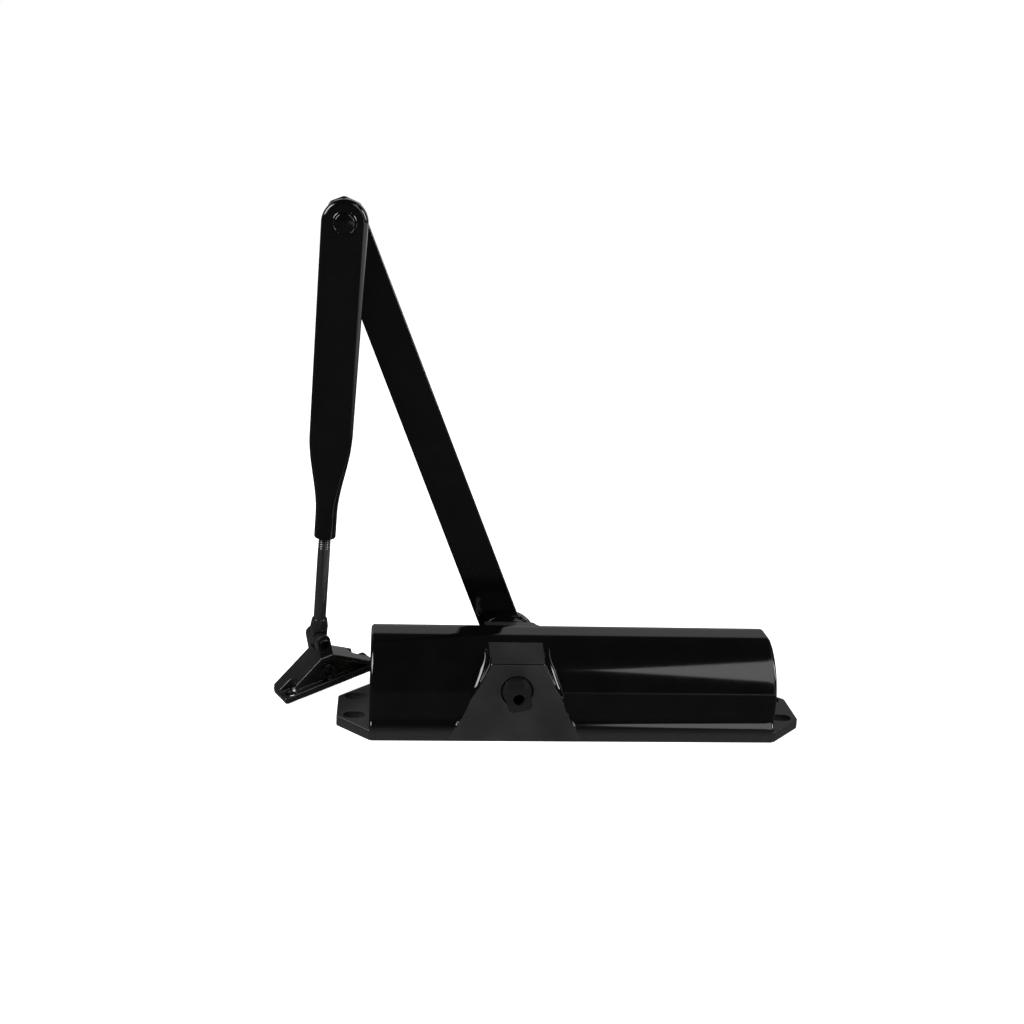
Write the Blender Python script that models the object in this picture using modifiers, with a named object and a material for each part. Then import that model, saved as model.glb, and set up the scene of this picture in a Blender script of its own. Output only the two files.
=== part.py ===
"""Surface-mounted hydraulic door closer with a main arm, an adjustable forearm and a shoe.

Row frame: the mounting face is Z = 0, the origin is the centre of the mounting hole pattern,
+X runs along the body to its spring end, +Y points to the arm and +Z away from the door.
All sizes are in metres; MM turns a size in millimetres into metres.
"""

import math

import bmesh
import bpy
from mathutils import Matrix, Vector

MM = 0.001
CLEAR = 0.3 * MM          # gap between pieces that touch
THREAD_CLEAR = 0.3 * MM   # gap all round a thread, which is modelled plain
MERGE = 0.00001           # merge distance of welds and turned shapes

# ---- body casting ----
BODY_LENGTH = 214.2 * MM
BODY_HEIGHT = 49.7 * MM
BASE_HALF_WIDTH = 30.5 * MM
BASE_BAND_HEIGHT = 9.4 * MM
ARCH_RADIUS = 29.7 * MM
TOP_FLAT_HALF_WIDTH = 6.9 * MM
FOOT_LENGTH = 17.3 * MM
FOOT_END_HALF_WIDTH = 12.9 * MM
FOOT_THICKNESS = 5.9 * MM
SLOT_INSET = 8.0 * MM      # from each end of the arched body out to its slots
HOLE_SPACING_Y = 24.0 * MM
SLOT_LENGTH = 11.6 * MM
SLOT_WIDTH = 8.0 * MM

# ---- bosses round the pinion, one on each side ----
BOSS_TOP_HALF_WIDTH = 13.8 * MM
BOSS_SLOPE = 0.49          # how far each side spreads for each unit down
BOSS_SHOULDER_HEIGHT = 43.1 * MM
BOSS_CROWN_HEIGHT = 47.9 * MM
BOSS_CROWN_DEPTH = 11.5 * MM
BOSS_DRAFT = 0.22          # how far the walls spread for each unit in

# ---- bore, piston and rack ----
BORE_RADIUS = 17.5 * MM
BORE_HEIGHT = 28.0 * MM
PISTON_REACH = 41.0 * MM   # from the pinion to the piston's left end
PISTON_LENGTH = 80.0 * MM
GEAR_MODULE = 1.6 * MM
GEAR_TEETH = 10
PRESSURE_ANGLE = math.radians(25.0)
BACKLASH = 0.4 * MM
OPENING_ANGLE = math.radians(115.0)

# ---- pinion shaft ----
PINION_INSET = 76.1 * MM   # from the left end of the arched body to the pinion
JOURNAL_RADIUS = 7.7 * MM
SQUARE_ACROSS_FLATS = 12.7 * MM
SQUARE_TWIST = math.radians(12.0)
SHAFT_PROUD = 11.1 * MM
GEAR_WIDTH = 12.0 * MM
BEARING_RADIUS = 11.0 * MM
BEARING_LENGTH = 6.5 * MM
BEARING_START = 18.0 * MM
SEAL_LENGTH = 2.4 * MM
LIP_THICKNESS = 2.2 * MM
CAP_RADIUS = 12.4 * MM
CAP_LENGTH = 4.0 * MM
TAPPED_RADIUS = 3.0 * MM
TAPPED_DEPTH = 15.0 * MM

# ---- end plugs, spring and its adjuster ----
PLUG_RADIUS = 18.3 * MM
PLUG_LENGTH = 11.2 * MM
PLUG_RECESS = 1.5 * MM
SPRING_WIRE_RADIUS = 2.2 * MM
SPRING_MEAN_RADIUS = 12.6 * MM
SPRING_TURNS = 8.5
SEAT_THICKNESS = 4.0 * MM
SEAT_RADIUS = 16.8 * MM
SEAT_HUB_RADIUS = 7.0 * MM
SEAT_HUB_LENGTH = 4.0 * MM
ADJUSTER_RADIUS = 4.0 * MM
ADJUSTER_COLLAR_RADIUS = 7.0 * MM
ADJUSTER_COLLAR_LENGTH = 2.0 * MM
ADJUSTER_TRAVEL = 8.0 * MM

# ---- regulating valves ----
VALVE_RADIUS = 3.2 * MM
VALVE_LENGTH = 17.0 * MM
VALVE_SIDE = 22.8 * MM
VALVE_HEIGHT = 11.4 * MM
VALVE_RECESS = 1.2 * MM
PORT_RADIUS = 1.3 * MM

# ---- main arm ----
ARM_LENGTH = 250.0 * MM
ARM_LEAN = math.radians(22.1)
ARM_FRONT = 38.9 * MM
ARM_THICKNESS = 6.0 * MM
ARM_HUB_HALF_WIDTH = 11.2 * MM
ARM_TIP_HALF_WIDTH = 10.6 * MM
ARM_TIP_OVERHANG = 12.3 * MM
ARM_TIP_CHAMFER = 6.6 * MM
HUB_RADIUS = 15.5 * MM
HUB_FACE = 31.1 * MM
ARM_WASHER_RADIUS = 10.0 * MM
ARM_WASHER_THICKNESS = 1.6 * MM
ARM_SCREW_HEAD_FLATS = 13.0 * MM
ARM_SCREW_HEAD_HEIGHT = 5.3 * MM
ARM_SCREW_SHANK = 2.7 * MM

# ---- elbow and forearm ----
RIVET_RADIUS = 4.0 * MM
RIVET_HEAD_RADIUS = 6.4 * MM
RIVET_HEAD_THICKNESS = 1.7 * MM
ELBOW_WASHER_RADIUS = 9.0 * MM
ELBOW_WASHER_THICKNESS = 0.8 * MM
FOREARM_DEPTH = 13.4 * MM
FOREARM_LEAN = math.radians(2.86)
FOREARM_ELBOW_HALF_WIDTH = 12.1 * MM
FOREARM_WAIST_HALF_WIDTH = 11.4 * MM
FOREARM_TAPER_START = 112.0 * MM
FOREARM_TAPER_END = 156.0 * MM
FOREARM_LENGTH = 169.5 * MM
FOREARM_TUBE_RADIUS = 5.85 * MM
FOREARM_CORNER = 2.4 * MM

# ---- adjusting rod, rod end and shoe ----
ROD_RADIUS = 3.4 * MM
ROD_ENGAGEMENT = 45.0 * MM
ROD_BORE_DEPTH = 62.0 * MM
PIN_DISTANCE = 228.4 * MM
ROD_END_RADIUS = 5.0 * MM
ROD_END_TOP = 12.6 * MM
ROD_END_SHOULDER = 7.6 * MM
ROD_SOCKET_DEPTH = 5.8 * MM
TONGUE_THICKNESS = 5.0 * MM
TONGUE_RADIUS = 4.2 * MM
EAR_THICKNESS = 5.6 * MM
EAR_HALF_WIDTH = 3.9 * MM
EAR_TOP = 5.3 * MM
SHOE_PIN_RADIUS = 2.2 * MM
SHOE_PIN_HEAD_RADIUS = 3.0 * MM
SHOE_PIN_HEAD_THICKNESS = 0.7 * MM
SHOE_TURN = math.radians(27.0)
SHOE_TILT = math.radians(14.4)
SHOE_HALF_LENGTH = 28.2 * MM
SHOE_HALF_WIDTH = 9.3 * MM
SHOE_PLATE_THICKNESS = 3.2 * MM
SHOE_CORNER = 1.6 * MM
PIN_HEIGHT = 26.2 * MM
LEG_HALF_WIDTH = 9.0 * MM
LEG_TOP_HEIGHT = 18.4 * MM
LEG_END_INSET = 0.8 * MM
LEG_END_HEIGHT = 1.4 * MM
LEG_WALL = 2.6 * MM
WEB_HALF_THICKNESS = 5.4 * MM
RING_RADIUS = 4.4 * MM
RING_HOLE_RADIUS = 2.8 * MM
RING_HEIGHT = 8.4 * MM
SHOE_HOLE_INSET = 5.8 * MM
SHOE_HOLE_SIDE = 4.4 * MM
SHOE_HOLE_RADIUS = 2.4 * MM
SCREW_HEAD_RADIUS = 4.6 * MM

# ---- places worked out from the sizes above ----
HALF_LENGTH = BODY_LENGTH / 2
HOLE_SPACING_X = BODY_LENGTH + 2 * SLOT_INSET
PINION_X = PINION_INSET - HALF_LENGTH
PISTON_LEFT = PINION_X - PISTON_REACH
ARCH_HEIGHT = BODY_HEIGHT - math.sqrt(ARCH_RADIUS**2 - TOP_FLAT_HALF_WIDTH**2)
PITCH_RADIUS = GEAR_MODULE * GEAR_TEETH / 2
GEAR_TIP_RADIUS = PITCH_RADIUS + 0.9 * GEAR_MODULE
GEAR_ROOT_RADIUS = PITCH_RADIUS - 1.15 * GEAR_MODULE
RACK_TIP_DROP = 0.75 * GEAR_MODULE
PISTON_STROKE = PITCH_RADIUS * OPENING_ANGLE
PISTON_RADIUS = BORE_RADIUS - CLEAR
PISTON_RIGHT = PISTON_LEFT + PISTON_LENGTH
PLUG_OUTER = HALF_LENGTH - PLUG_RECESS
PLUG_INNER = PLUG_OUTER - PLUG_LENGTH
SEAT_HUB_END = PLUG_INNER - 2.4 * MM
SEAT_FACE = SEAT_HUB_END - SEAT_HUB_LENGTH - SEAT_THICKNESS
BOSS_FACE = BASE_HALF_WIDTH
FOREARM_BACK = ARM_FRONT - 2 * CLEAR - ELBOW_WASHER_THICKNESS
FOREARM_FRONT = FOREARM_BACK - FOREARM_DEPTH
FOREARM_AXIS = (FOREARM_FRONT + FOREARM_BACK) / 2

ALONG_X = Matrix.Rotation(math.radians(90.0), 4, "Y")
ALONG_Y = Matrix.Rotation(math.radians(-90.0), 4, "X")
OBJECT_NAME = "door_closer"


# ---- scene, materials and frames ----

def clear_scene():
    for old in list(bpy.data.objects):
        bpy.data.objects.remove(old, do_unlink=True)
    for old in list(bpy.data.collections):
        bpy.data.collections.remove(old)


def new_collection(name):
    collection = bpy.data.collections.new(name)
    bpy.context.scene.collection.children.link(collection)
    return collection


def principled(name, colour, roughness, metallic):
    material = bpy.data.materials.new(name)
    material.use_nodes = True
    shader = material.node_tree.nodes["Principled BSDF"]
    shader.inputs["Base Color"].default_value = (*colour, 1.0)
    shader.inputs["Roughness"].default_value = roughness
    shader.inputs["Metallic"].default_value = metallic
    material.diffuse_color = (*colour, 1.0)
    return material


clear_scene()
PARTS = new_collection(OBJECT_NAME)
CUTTERS = new_collection("cutters")

BLACK = ("gloss_black_paint", (0.012, 0.011, 0.011), 0.16, 0.0)
STEEL = ("ground_steel", (0.56, 0.57, 0.58), 0.28, 1.0)
DARK_STEEL = ("blackened_steel", (0.05, 0.05, 0.052), 0.35, 1.0)
SPRING_STEEL = ("spring_steel", (0.22, 0.23, 0.25), 0.35, 1.0)
BRASS = ("brass", (0.70, 0.52, 0.22), 0.3, 1.0)
RUBBER = ("nitrile_rubber", (0.02, 0.02, 0.02), 0.7, 0.0)
IRON = ("piston_iron", (0.30, 0.30, 0.31), 0.4, 1.0)


def empty(name, matrix, parent=None):
    holder = bpy.data.objects.new(name, None)
    holder.empty_display_size = 0.01
    PARTS.objects.link(holder)
    if parent:
        holder.parent = parent
    holder.matrix_local = matrix
    return holder


def rotate_y(angle):
    return Matrix.Rotation(angle, 4, "Y")


def shift(x=0.0, y=0.0, z=0.0):
    return Matrix.Translation((x, y, z))


PINION_FRAME = empty("pinion_axis", shift(PINION_X, 0, BORE_HEIGHT))
BORE_FRAME = empty("bore_axis", shift(z=BORE_HEIGHT))
ARM_FRAME = empty("arm_line", rotate_y(-ARM_LEAN), PINION_FRAME)
ELBOW_TURN = rotate_y(ARM_LEAN + FOREARM_LEAN)
ELBOW_FRAME = empty("elbow_axis", shift(z=ARM_LENGTH) @ ELBOW_TURN, ARM_FRAME)
ROD_FRAME = empty("rod_axis", shift(y=FOREARM_AXIS), ELBOW_FRAME)
PIN_FRAME = empty("rod_end_axis", shift(z=-PIN_DISTANCE) @ Matrix.Rotation(SHOE_TURN, 4, "Z"), ROD_FRAME)
SHOE_FRAME = empty("shoe_pin_axis", rotate_y(-SHOE_TILT), PIN_FRAME)


# ---- building tools ----

def place(obj, parent, matrix, collection):
    collection.objects.link(obj)
    if parent:
        obj.parent = parent
    obj.matrix_local = matrix
    if collection is CUTTERS:
        obj.hide_render = True
        obj.display_type = "WIRE"
    return obj


def as_part(obj, look):
    name, colour, roughness, metallic = look
    obj.data.materials.clear()
    obj.data.materials.append(principled(obj.name + "_" + name, colour, roughness, metallic))
    return obj


def mesh_object(name, bm, parent, matrix, collection, smooth=True):
    mesh = bpy.data.meshes.new(name)
    bm.to_mesh(mesh)
    bm.free()
    if smooth:
        mesh.shade_smooth()
        mesh.set_sharp_from_angle(angle=math.radians(35.0))
    return place(bpy.data.objects.new(name, mesh), parent, matrix, collection)


def turned(name, profile, parent=None, matrix=Matrix(), steps=32, collection=None):
    """Turns a profile of (radius, height) points about local Z.

    The points run outwards along the top, down the outer side and back along the bottom;
    a profile that doesn't start and end on the axis is closed into a ring.
    """
    bm = bmesh.new()
    points = [bm.verts.new((radius, 0, height)) for radius, height in profile]
    for first, second in zip(points, points[1:]):
        bm.edges.new((first, second))
    if profile[0][0] > 0:
        bm.edges.new((points[-1], points[0]))
    obj = mesh_object(name, bm, parent, matrix, collection or PARTS, smooth=False)
    screw = obj.modifiers.new("turn", "SCREW")
    screw.axis = "Z"
    screw.steps = steps
    screw.render_steps = steps
    screw.use_merge_vertices = True
    screw.merge_threshold = MERGE
    screw.use_smooth_shade = True
    return obj


def rod(name, radius, start, end, parent=None, matrix=Matrix(), steps=32, collection=None):
    profile = [(0, end), (radius, end), (radius, start), (0, start)]
    return turned(name, profile, parent, matrix, steps, collection)


def ring(name, inner, outer, start, end, parent=None, matrix=Matrix(), steps=32, collection=None):
    profile = [(inner, end), (outer, end), (outer, start), (inner, start)]
    return turned(name, profile, parent, matrix, steps, collection)


def plate(name, outline, thickness, parent=None, matrix=Matrix(), collection=None):
    """A flat outline in local XY, centred on Z = 0, as a filled curve made into a mesh."""
    curve = bpy.data.curves.new(name + "_outline", "CURVE")
    curve.dimensions = "2D"
    curve.fill_mode = "BOTH"
    curve.extrude = thickness / 2
    spline = curve.splines.new("POLY")
    spline.points.add(len(outline) - 1)
    for point, (x, y) in zip(spline.points, outline):
        point.co = (x, y, 0, 1)
    spline.use_cyclic_u = True
    flat = bpy.data.objects.new(name + "_curve", curve)
    bpy.context.scene.collection.objects.link(flat)
    graph = bpy.context.evaluated_depsgraph_get()
    mesh = bpy.data.meshes.new_from_object(flat.evaluated_get(graph))
    mesh.name = name
    bpy.data.objects.remove(flat, do_unlink=True)
    bm = bmesh.new()
    bm.from_mesh(mesh)
    bmesh.ops.remove_doubles(bm, verts=bm.verts, dist=MERGE)
    bmesh.ops.recalc_face_normals(bm, faces=bm.faces)
    bpy.data.meshes.remove(mesh)
    return mesh_object(name, bm, parent, matrix, collection or PARTS)


def block(name, low, high, parent=None, matrix=Matrix(), collection=None):
    bm = bmesh.new()
    bmesh.ops.create_cube(bm, size=1.0)
    centre = [(a + b) / 2 for a, b in zip(low, high)]
    size = [b - a for a, b in zip(low, high)]
    bmesh.ops.scale(bm, vec=size, verts=bm.verts)
    bmesh.ops.translate(bm, vec=centre, verts=bm.verts)
    return mesh_object(name, bm, parent, matrix, collection or PARTS, smooth=False)


def hull(name, points, parent=None, matrix=Matrix(), collection=None):
    bm = bmesh.new()
    for point in points:
        bm.verts.new(point)
    made = bmesh.ops.convex_hull(bm, input=bm.verts)
    inside = [v for v in made["geom_interior"] if isinstance(v, bmesh.types.BMVert)]
    bmesh.ops.delete(bm, geom=inside, context="VERTS")
    bmesh.ops.recalc_face_normals(bm, faces=bm.faces)
    return mesh_object(name, bm, parent, matrix, collection or PARTS, smooth=False)


def loft(name, rings, parent=None, matrix=Matrix(), collection=None):
    """Joins equal rings of points, first to last, and closes both ends."""
    bm = bmesh.new()
    loops = [[bm.verts.new(point) for point in points] for points in rings]
    bm.faces.new(loops[0])
    bm.faces.new(loops[-1])
    count = len(loops[0])
    for lower, upper in zip(loops, loops[1:]):
        for i in range(count):
            j = (i + 1) % count
            bm.faces.new((lower[i], lower[j], upper[j], upper[i]))
    bmesh.ops.recalc_face_normals(bm, faces=bm.faces)
    return mesh_object(name, bm, parent, matrix, collection or PARTS)


def boolean(target, tool, operation):
    modifier = target.modifiers.new(tool.name, "BOOLEAN")
    modifier.operation = operation
    modifier.solver = "EXACT"
    modifier.object = tool
    return target


def cut(target, *tools):
    for tool in tools:
        boolean(target, tool, "DIFFERENCE")
    return target


def join(target, *tools):
    for tool in tools:
        boolean(target, tool, "UNION")
    return target


def arc(centre, radius, start, stop, steps):
    """Points on a circle, from one angle to another, in degrees."""
    angles = [math.radians(start + (stop - start) * i / steps) for i in range(steps + 1)]
    return [(centre[0] + radius * math.cos(a), centre[1] + radius * math.sin(a)) for a in angles]


def rounded_rectangle(half_width, half_depth, corner, steps=3):
    """A closed outline with round corners, centred on the origin."""
    corner = min(corner, half_width, half_depth)
    points = []
    for quarter, (side, end) in enumerate([(1, 1), (-1, 1), (-1, -1), (1, -1)]):
        centre = (side * (half_width - corner), end * (half_depth - corner))
        points += arc(centre, corner, 90 * quarter, 90 * quarter + 90, steps)
    return points


def regular_outline(flats, sides, turn=0.0):
    radius = flats / 2 / math.cos(math.pi / sides)
    corners = [turn + 2 * math.pi * (i + 0.5) / sides for i in range(sides)]
    return [(radius * math.cos(a), radius * math.sin(a)) for a in corners]


# ---- body casting ----

def body_profile():
    """Half outline of the casting's section as (y, z): base band, arch and top flat."""
    foot_of_arch = BASE_BAND_HEIGHT + 1.7 * MM
    start = math.degrees(math.asin((foot_of_arch - ARCH_HEIGHT) / ARCH_RADIUS))
    stop = math.degrees(math.acos(TOP_FLAT_HALF_WIDTH / ARCH_RADIUS))
    right = [(BASE_HALF_WIDTH, 0), (BASE_HALF_WIDTH, BASE_BAND_HEIGHT)]
    right += arc((0, ARCH_HEIGHT), ARCH_RADIUS, start, stop, 10)
    left = [(-y, z) for y, z in reversed(right)]
    return right + left


def foot_outline():
    end = HALF_LENGTH + FOOT_LENGTH
    right = [(end, -FOOT_END_HALF_WIDTH), (end, FOOT_END_HALF_WIDTH)]
    right += [(HALF_LENGTH, BASE_HALF_WIDTH)]
    left = [(-x, y) for x, y in reversed(right)]
    left += [(-HALF_LENGTH, -BASE_HALF_WIDTH)]
    return right + left + [(HALF_LENGTH, -BASE_HALF_WIDTH)]


def boss(name, side):
    """The sloped boss that carries one end of the pinion; side is -1 or 1 along Y."""
    low = BASE_BAND_HEIGHT - 4 * MM
    spread = BOSS_TOP_HALF_WIDTH + BOSS_SLOPE * (BOSS_SHOULDER_HEIGHT - low)
    points = []
    for depth, top in ((BOSS_FACE, BOSS_SHOULDER_HEIGHT), (BOSS_CROWN_DEPTH, BOSS_CROWN_HEIGHT)):
        widen = (BOSS_FACE - depth) * BOSS_DRAFT
        for way in (-1, 1):
            points.append((way * BOSS_TOP_HALF_WIDTH, side * depth, top))
            points.append((way * (spread + widen), side * depth, low))
            points.append((way * (BOSS_TOP_HALF_WIDTH + widen), side * depth, BOSS_SHOULDER_HEIGHT))
    return hull(name, points, matrix=shift(PINION_X), collection=CUTTERS)


def stepped_bore():
    """The main bore, with a wider mouth at each end for the plugs, about local Z."""
    mouth = PLUG_RADIUS + THREAD_CLEAR
    shoulder = PLUG_INNER - CLEAR
    far = HALF_LENGTH + 5 * MM
    profile = [(0, far), (mouth, far), (mouth, shoulder), (BORE_RADIUS, shoulder)]
    profile += [(radius, -height) for radius, height in reversed(profile)]
    return turned("bore_cutter", profile, BORE_FRAME, ALONG_X, 48, CUTTERS)


def cross_bore():
    """The bearing bore, with a lip at the near boss and a wide mouth for the far cap."""
    lip = JOURNAL_RADIUS + CLEAR
    bearing = BEARING_RADIUS + CLEAR
    mouth = CAP_RADIUS + THREAD_CLEAR
    far = BOSS_FACE + 5 * MM
    shoulder = BOSS_FACE - CAP_LENGTH - 2 * CLEAR
    inner_lip = -(BOSS_FACE - LIP_THICKNESS)
    profile = [(0, far), (mouth, far), (mouth, shoulder), (bearing, shoulder)]
    profile += [(bearing, inner_lip), (lip, inner_lip), (lip, -far), (0, -far)]
    return turned("cross_bore_cutter", profile, PINION_FRAME, ALONG_Y, 40, CUTTERS)


def slot_cutter(name, x, y):
    radius = SLOT_WIDTH / 2
    reach = SLOT_LENGTH / 2 - radius
    outline = arc((reach, 0), radius, -90, 90, 8) + arc((-reach, 0), radius, 90, 270, 8)
    height = 4 * FOOT_THICKNESS
    return plate(name, outline, height, matrix=shift(x, y), collection=CUTTERS)


def valve_cutters(name, end, side):
    """A valve's blind hole from an end face, and the slanting port from it to the bore."""
    mouth = VALVE_RADIUS + THREAD_CLEAR
    depth = VALVE_LENGTH + VALVE_RECESS + 4 * MM
    turn = ALONG_X if end > 0 else Matrix.Rotation(math.radians(-90.0), 4, "Y")
    matrix = shift(end * HALF_LENGTH, side * VALVE_SIDE, VALVE_HEIGHT) @ turn
    hole = rod(name + "_hole", mouth, -depth, 5 * MM, None, matrix, 20, CUTTERS)
    across = Vector((0, -side * VALVE_SIDE, BORE_HEIGHT - VALVE_HEIGHT))
    port_x = end * (HALF_LENGTH - depth + 2 * MM)
    turn_port = across.to_track_quat("Z", "Y").to_matrix().to_4x4()
    start = shift(port_x, side * VALVE_SIDE, VALVE_HEIGHT) @ turn_port
    reach = across.length - BORE_RADIUS + 2 * MM
    port = rod(name + "_port", PORT_RADIUS, 0, reach, None, start, 10, CUTTERS)
    return [hole, port]


VALVES = (("sweep_valve", -1, -1), ("latch_valve", -1, 1), ("backcheck_valve", 1, -1))


def make_body_casting():
    turn = Matrix.Rotation(math.radians(90.0), 4, "Z") @ Matrix.Rotation(math.radians(90.0), 4, "X")
    body = plate("body_casting", body_profile(), BODY_LENGTH, matrix=turn)
    middle = shift(z=FOOT_THICKNESS / 2)
    feet = plate("feet", foot_outline(), FOOT_THICKNESS, matrix=middle, collection=CUTTERS)
    join(body, feet, boss("near_boss", -1), boss("far_boss", 1))
    cut(body, stepped_bore(), cross_bore())
    for end in (-1, 1):
        for side in (-1, 1):
            name = f"slot_{'left' if end < 0 else 'right'}_{'near' if side < 0 else 'far'}"
            cut(body, slot_cutter(name, end * HOLE_SPACING_X / 2, side * HOLE_SPACING_Y / 2))
    for name, end, side in VALVES:
        cut(body, *valve_cutters(name, end, side))
    return as_part(body, BLACK)


# ---- end plugs and seals ----

SEAL_SECTION = 1.3 * MM
SEAL_FROM_INNER = 2.4 * MM


def plug_profile(bore=0.0, recess=0.0, recess_depth=0.0):
    """A plug with one seal groove, from its outer face at Z = 0 down to its inner face."""
    bottom = -PLUG_LENGTH
    groove_low = bottom + SEAL_FROM_INNER
    groove_high = groove_low + 2 * SEAL_SECTION
    floor = PLUG_RADIUS - 1.6 * MM
    profile = [(bore, 0), (PLUG_RADIUS - 0.8 * MM, 0), (PLUG_RADIUS, -0.8 * MM)]
    profile += [(PLUG_RADIUS, groove_high), (floor, groove_high)]
    profile += [(floor, groove_low), (PLUG_RADIUS, groove_low)]
    profile += [(PLUG_RADIUS, bottom), (max(bore, recess), bottom)]
    if recess > bore:
        profile += [(recess, bottom + recess_depth), (bore, bottom + recess_depth)]
    return profile


def plug_frame(end):
    turn = ALONG_X if end > 0 else Matrix.Rotation(math.radians(-90.0), 4, "Y")
    return shift(end * PLUG_OUTER) @ turn


def make_plug_seal(name, end):
    low = -PLUG_LENGTH + SEAL_FROM_INNER + CLEAR
    high = low + 2 * SEAL_SECTION - 2 * CLEAR
    floor = PLUG_RADIUS - 1.6 * MM
    seal = ring(name, floor + CLEAR, PLUG_RADIUS, low, high, BORE_FRAME, plug_frame(end), 40)
    return as_part(seal, RUBBER)


def make_end_plugs():
    left = turned("end_plug_left", plug_profile(), BORE_FRAME, plug_frame(-1), 40)
    recess_depth = ADJUSTER_COLLAR_LENGTH + 2 * CLEAR
    profile = plug_profile(ADJUSTER_RADIUS + CLEAR, ADJUSTER_COLLAR_RADIUS + CLEAR, recess_depth)
    right = turned("end_plug_right", profile, BORE_FRAME, plug_frame(1), 40)
    for plug, end in ((left, -1), (right, 1)):
        for way in (-1, 1):
            matrix = plug_frame(end) @ shift(x=way * 12.5 * MM)
            name = f"{plug.name}_spanner_{way}"
            cut(plug, rod(name, 2 * MM, -4 * MM, 4 * MM, BORE_FRAME, matrix, 12, CUTTERS))
    as_part(left, DARK_STEEL)
    as_part(right, DARK_STEEL)
    make_plug_seal("end_plug_seal_left", -1)
    make_plug_seal("end_plug_seal_right", 1)


# ---- pinion, bearings and seals ----

def involute(angle):
    return math.tan(angle) - angle


def gear_outline():
    """The pinion's teeth, with a space centred on +Y of the outline."""
    base = PITCH_RADIUS * math.cos(PRESSURE_ANGLE)
    half_pitch = math.pi / (2 * GEAR_TEETH) - BACKLASH / 2 / PITCH_RADIUS
    levels = 4
    flank = []
    for step in range(levels + 1):
        radius = base + (GEAR_TIP_RADIUS - base) * step / levels
        turn = half_pitch + involute(PRESSURE_ANGLE) - involute(math.acos(base / radius))
        flank.append((radius, turn))
    flank.insert(0, (GEAR_ROOT_RADIUS, flank[0][1]))
    points = []
    for tooth in range(GEAR_TEETH):
        middle = math.radians(90.0) + 2 * math.pi * (tooth + 0.5) / GEAR_TEETH
        side = [(radius, middle - turn) for radius, turn in flank]
        other = [(radius, middle + turn) for radius, turn in reversed(flank)]
        points += [(radius * math.cos(a), radius * math.sin(a)) for radius, a in side + other]
    return points


def square_outline(flats, corner_radius, turn):
    """A square whose corners are turned down to a radius."""
    half = flats / 2
    edge = math.degrees(math.acos(half / corner_radius))
    points = []
    for quarter in range(4):
        points += arc((0, 0), corner_radius, 90 * quarter + edge, 90 * quarter + 90 - edge, 2)
    turned_points = []
    for x, y in points:
        across = x * math.cos(turn) - y * math.sin(turn)
        along = x * math.sin(turn) + y * math.cos(turn)
        turned_points.append((across, along))
    return turned_points


# The outline's X and Y become the frame's X and Z, and its thickness lies along -Y to +Y.
FACING_Y = Matrix.Rotation(math.radians(90.0), 4, "X")


def make_pinion_shaft():
    shoulder = BOSS_FACE + CLEAR
    waist = GEAR_ROOT_RADIUS - 0.3 * MM
    waist_end = GEAR_WIDTH / 2 + 3 * CLEAR
    profile = [(0, shoulder), (JOURNAL_RADIUS, shoulder), (JOURNAL_RADIUS, waist_end), (waist, waist_end)]
    profile += [(radius, -height) for radius, height in reversed(profile)]
    shaft = turned("pinion_shaft", profile, PINION_FRAME, ALONG_Y, 32)
    gear = plate("pinion_gear", gear_outline(), GEAR_WIDTH, PINION_FRAME, FACING_Y, CUTTERS)
    join(shaft, gear)
    outline = square_outline(SQUARE_ACROSS_FLATS, JOURNAL_RADIUS - 0.05 * MM, SQUARE_TWIST)
    length = BOSS_FACE + SHAFT_PROUD - shoulder
    for side in (-1, 1):
        middle = side * (shoulder + length / 2 - 1 * MM)
        matrix = shift(y=middle) @ FACING_Y
        square = plate(f"square_end_{side}", outline, length + 2 * MM, PINION_FRAME, matrix, CUTTERS)
        join(shaft, square)
    tip = BOSS_FACE + SHAFT_PROUD
    for side in (-1, 1):
        start, end = sorted((side * (tip - TAPPED_DEPTH), side * (tip + 3 * MM)))
        name = f"tapped_hole_{side}"
        cut(shaft, rod(name, TAPPED_RADIUS, start, end, PINION_FRAME, ALONG_Y, 14, CUTTERS))
    return as_part(shaft, DARK_STEEL)


def make_shaft_rings():
    """Bearings, lip seals and the far retaining cap, all about the pinion's axis."""
    inner = JOURNAL_RADIUS + CLEAR
    outer = BEARING_RADIUS
    end = BEARING_START + BEARING_LENGTH
    near_seal_end = BOSS_FACE - LIP_THICKNESS - CLEAR
    far_seal_end = BOSS_FACE - CAP_LENGTH - 3 * CLEAR
    cap_start = BOSS_FACE - CAP_LENGTH - CLEAR
    rings = (
        ("bearing_near", inner, outer, -end, -BEARING_START, STEEL),
        ("bearing_far", inner, outer, BEARING_START, far_seal_end - SEAL_LENGTH - CLEAR, STEEL),
        ("shaft_seal_near", inner, outer, -near_seal_end, -end - CLEAR, RUBBER),
        ("shaft_seal_far", inner, outer, far_seal_end - SEAL_LENGTH, far_seal_end, RUBBER),
        ("bearing_cap_far", inner, CAP_RADIUS, cap_start, BOSS_FACE - CLEAR, DARK_STEEL),
    )
    for name, inside, outside, start, stop, look in rings:
        as_part(ring(name, inside, outside, start, stop, PINION_FRAME, ALONG_Y, 28), look)


# ---- piston, check valve, spring and adjuster ----

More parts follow.
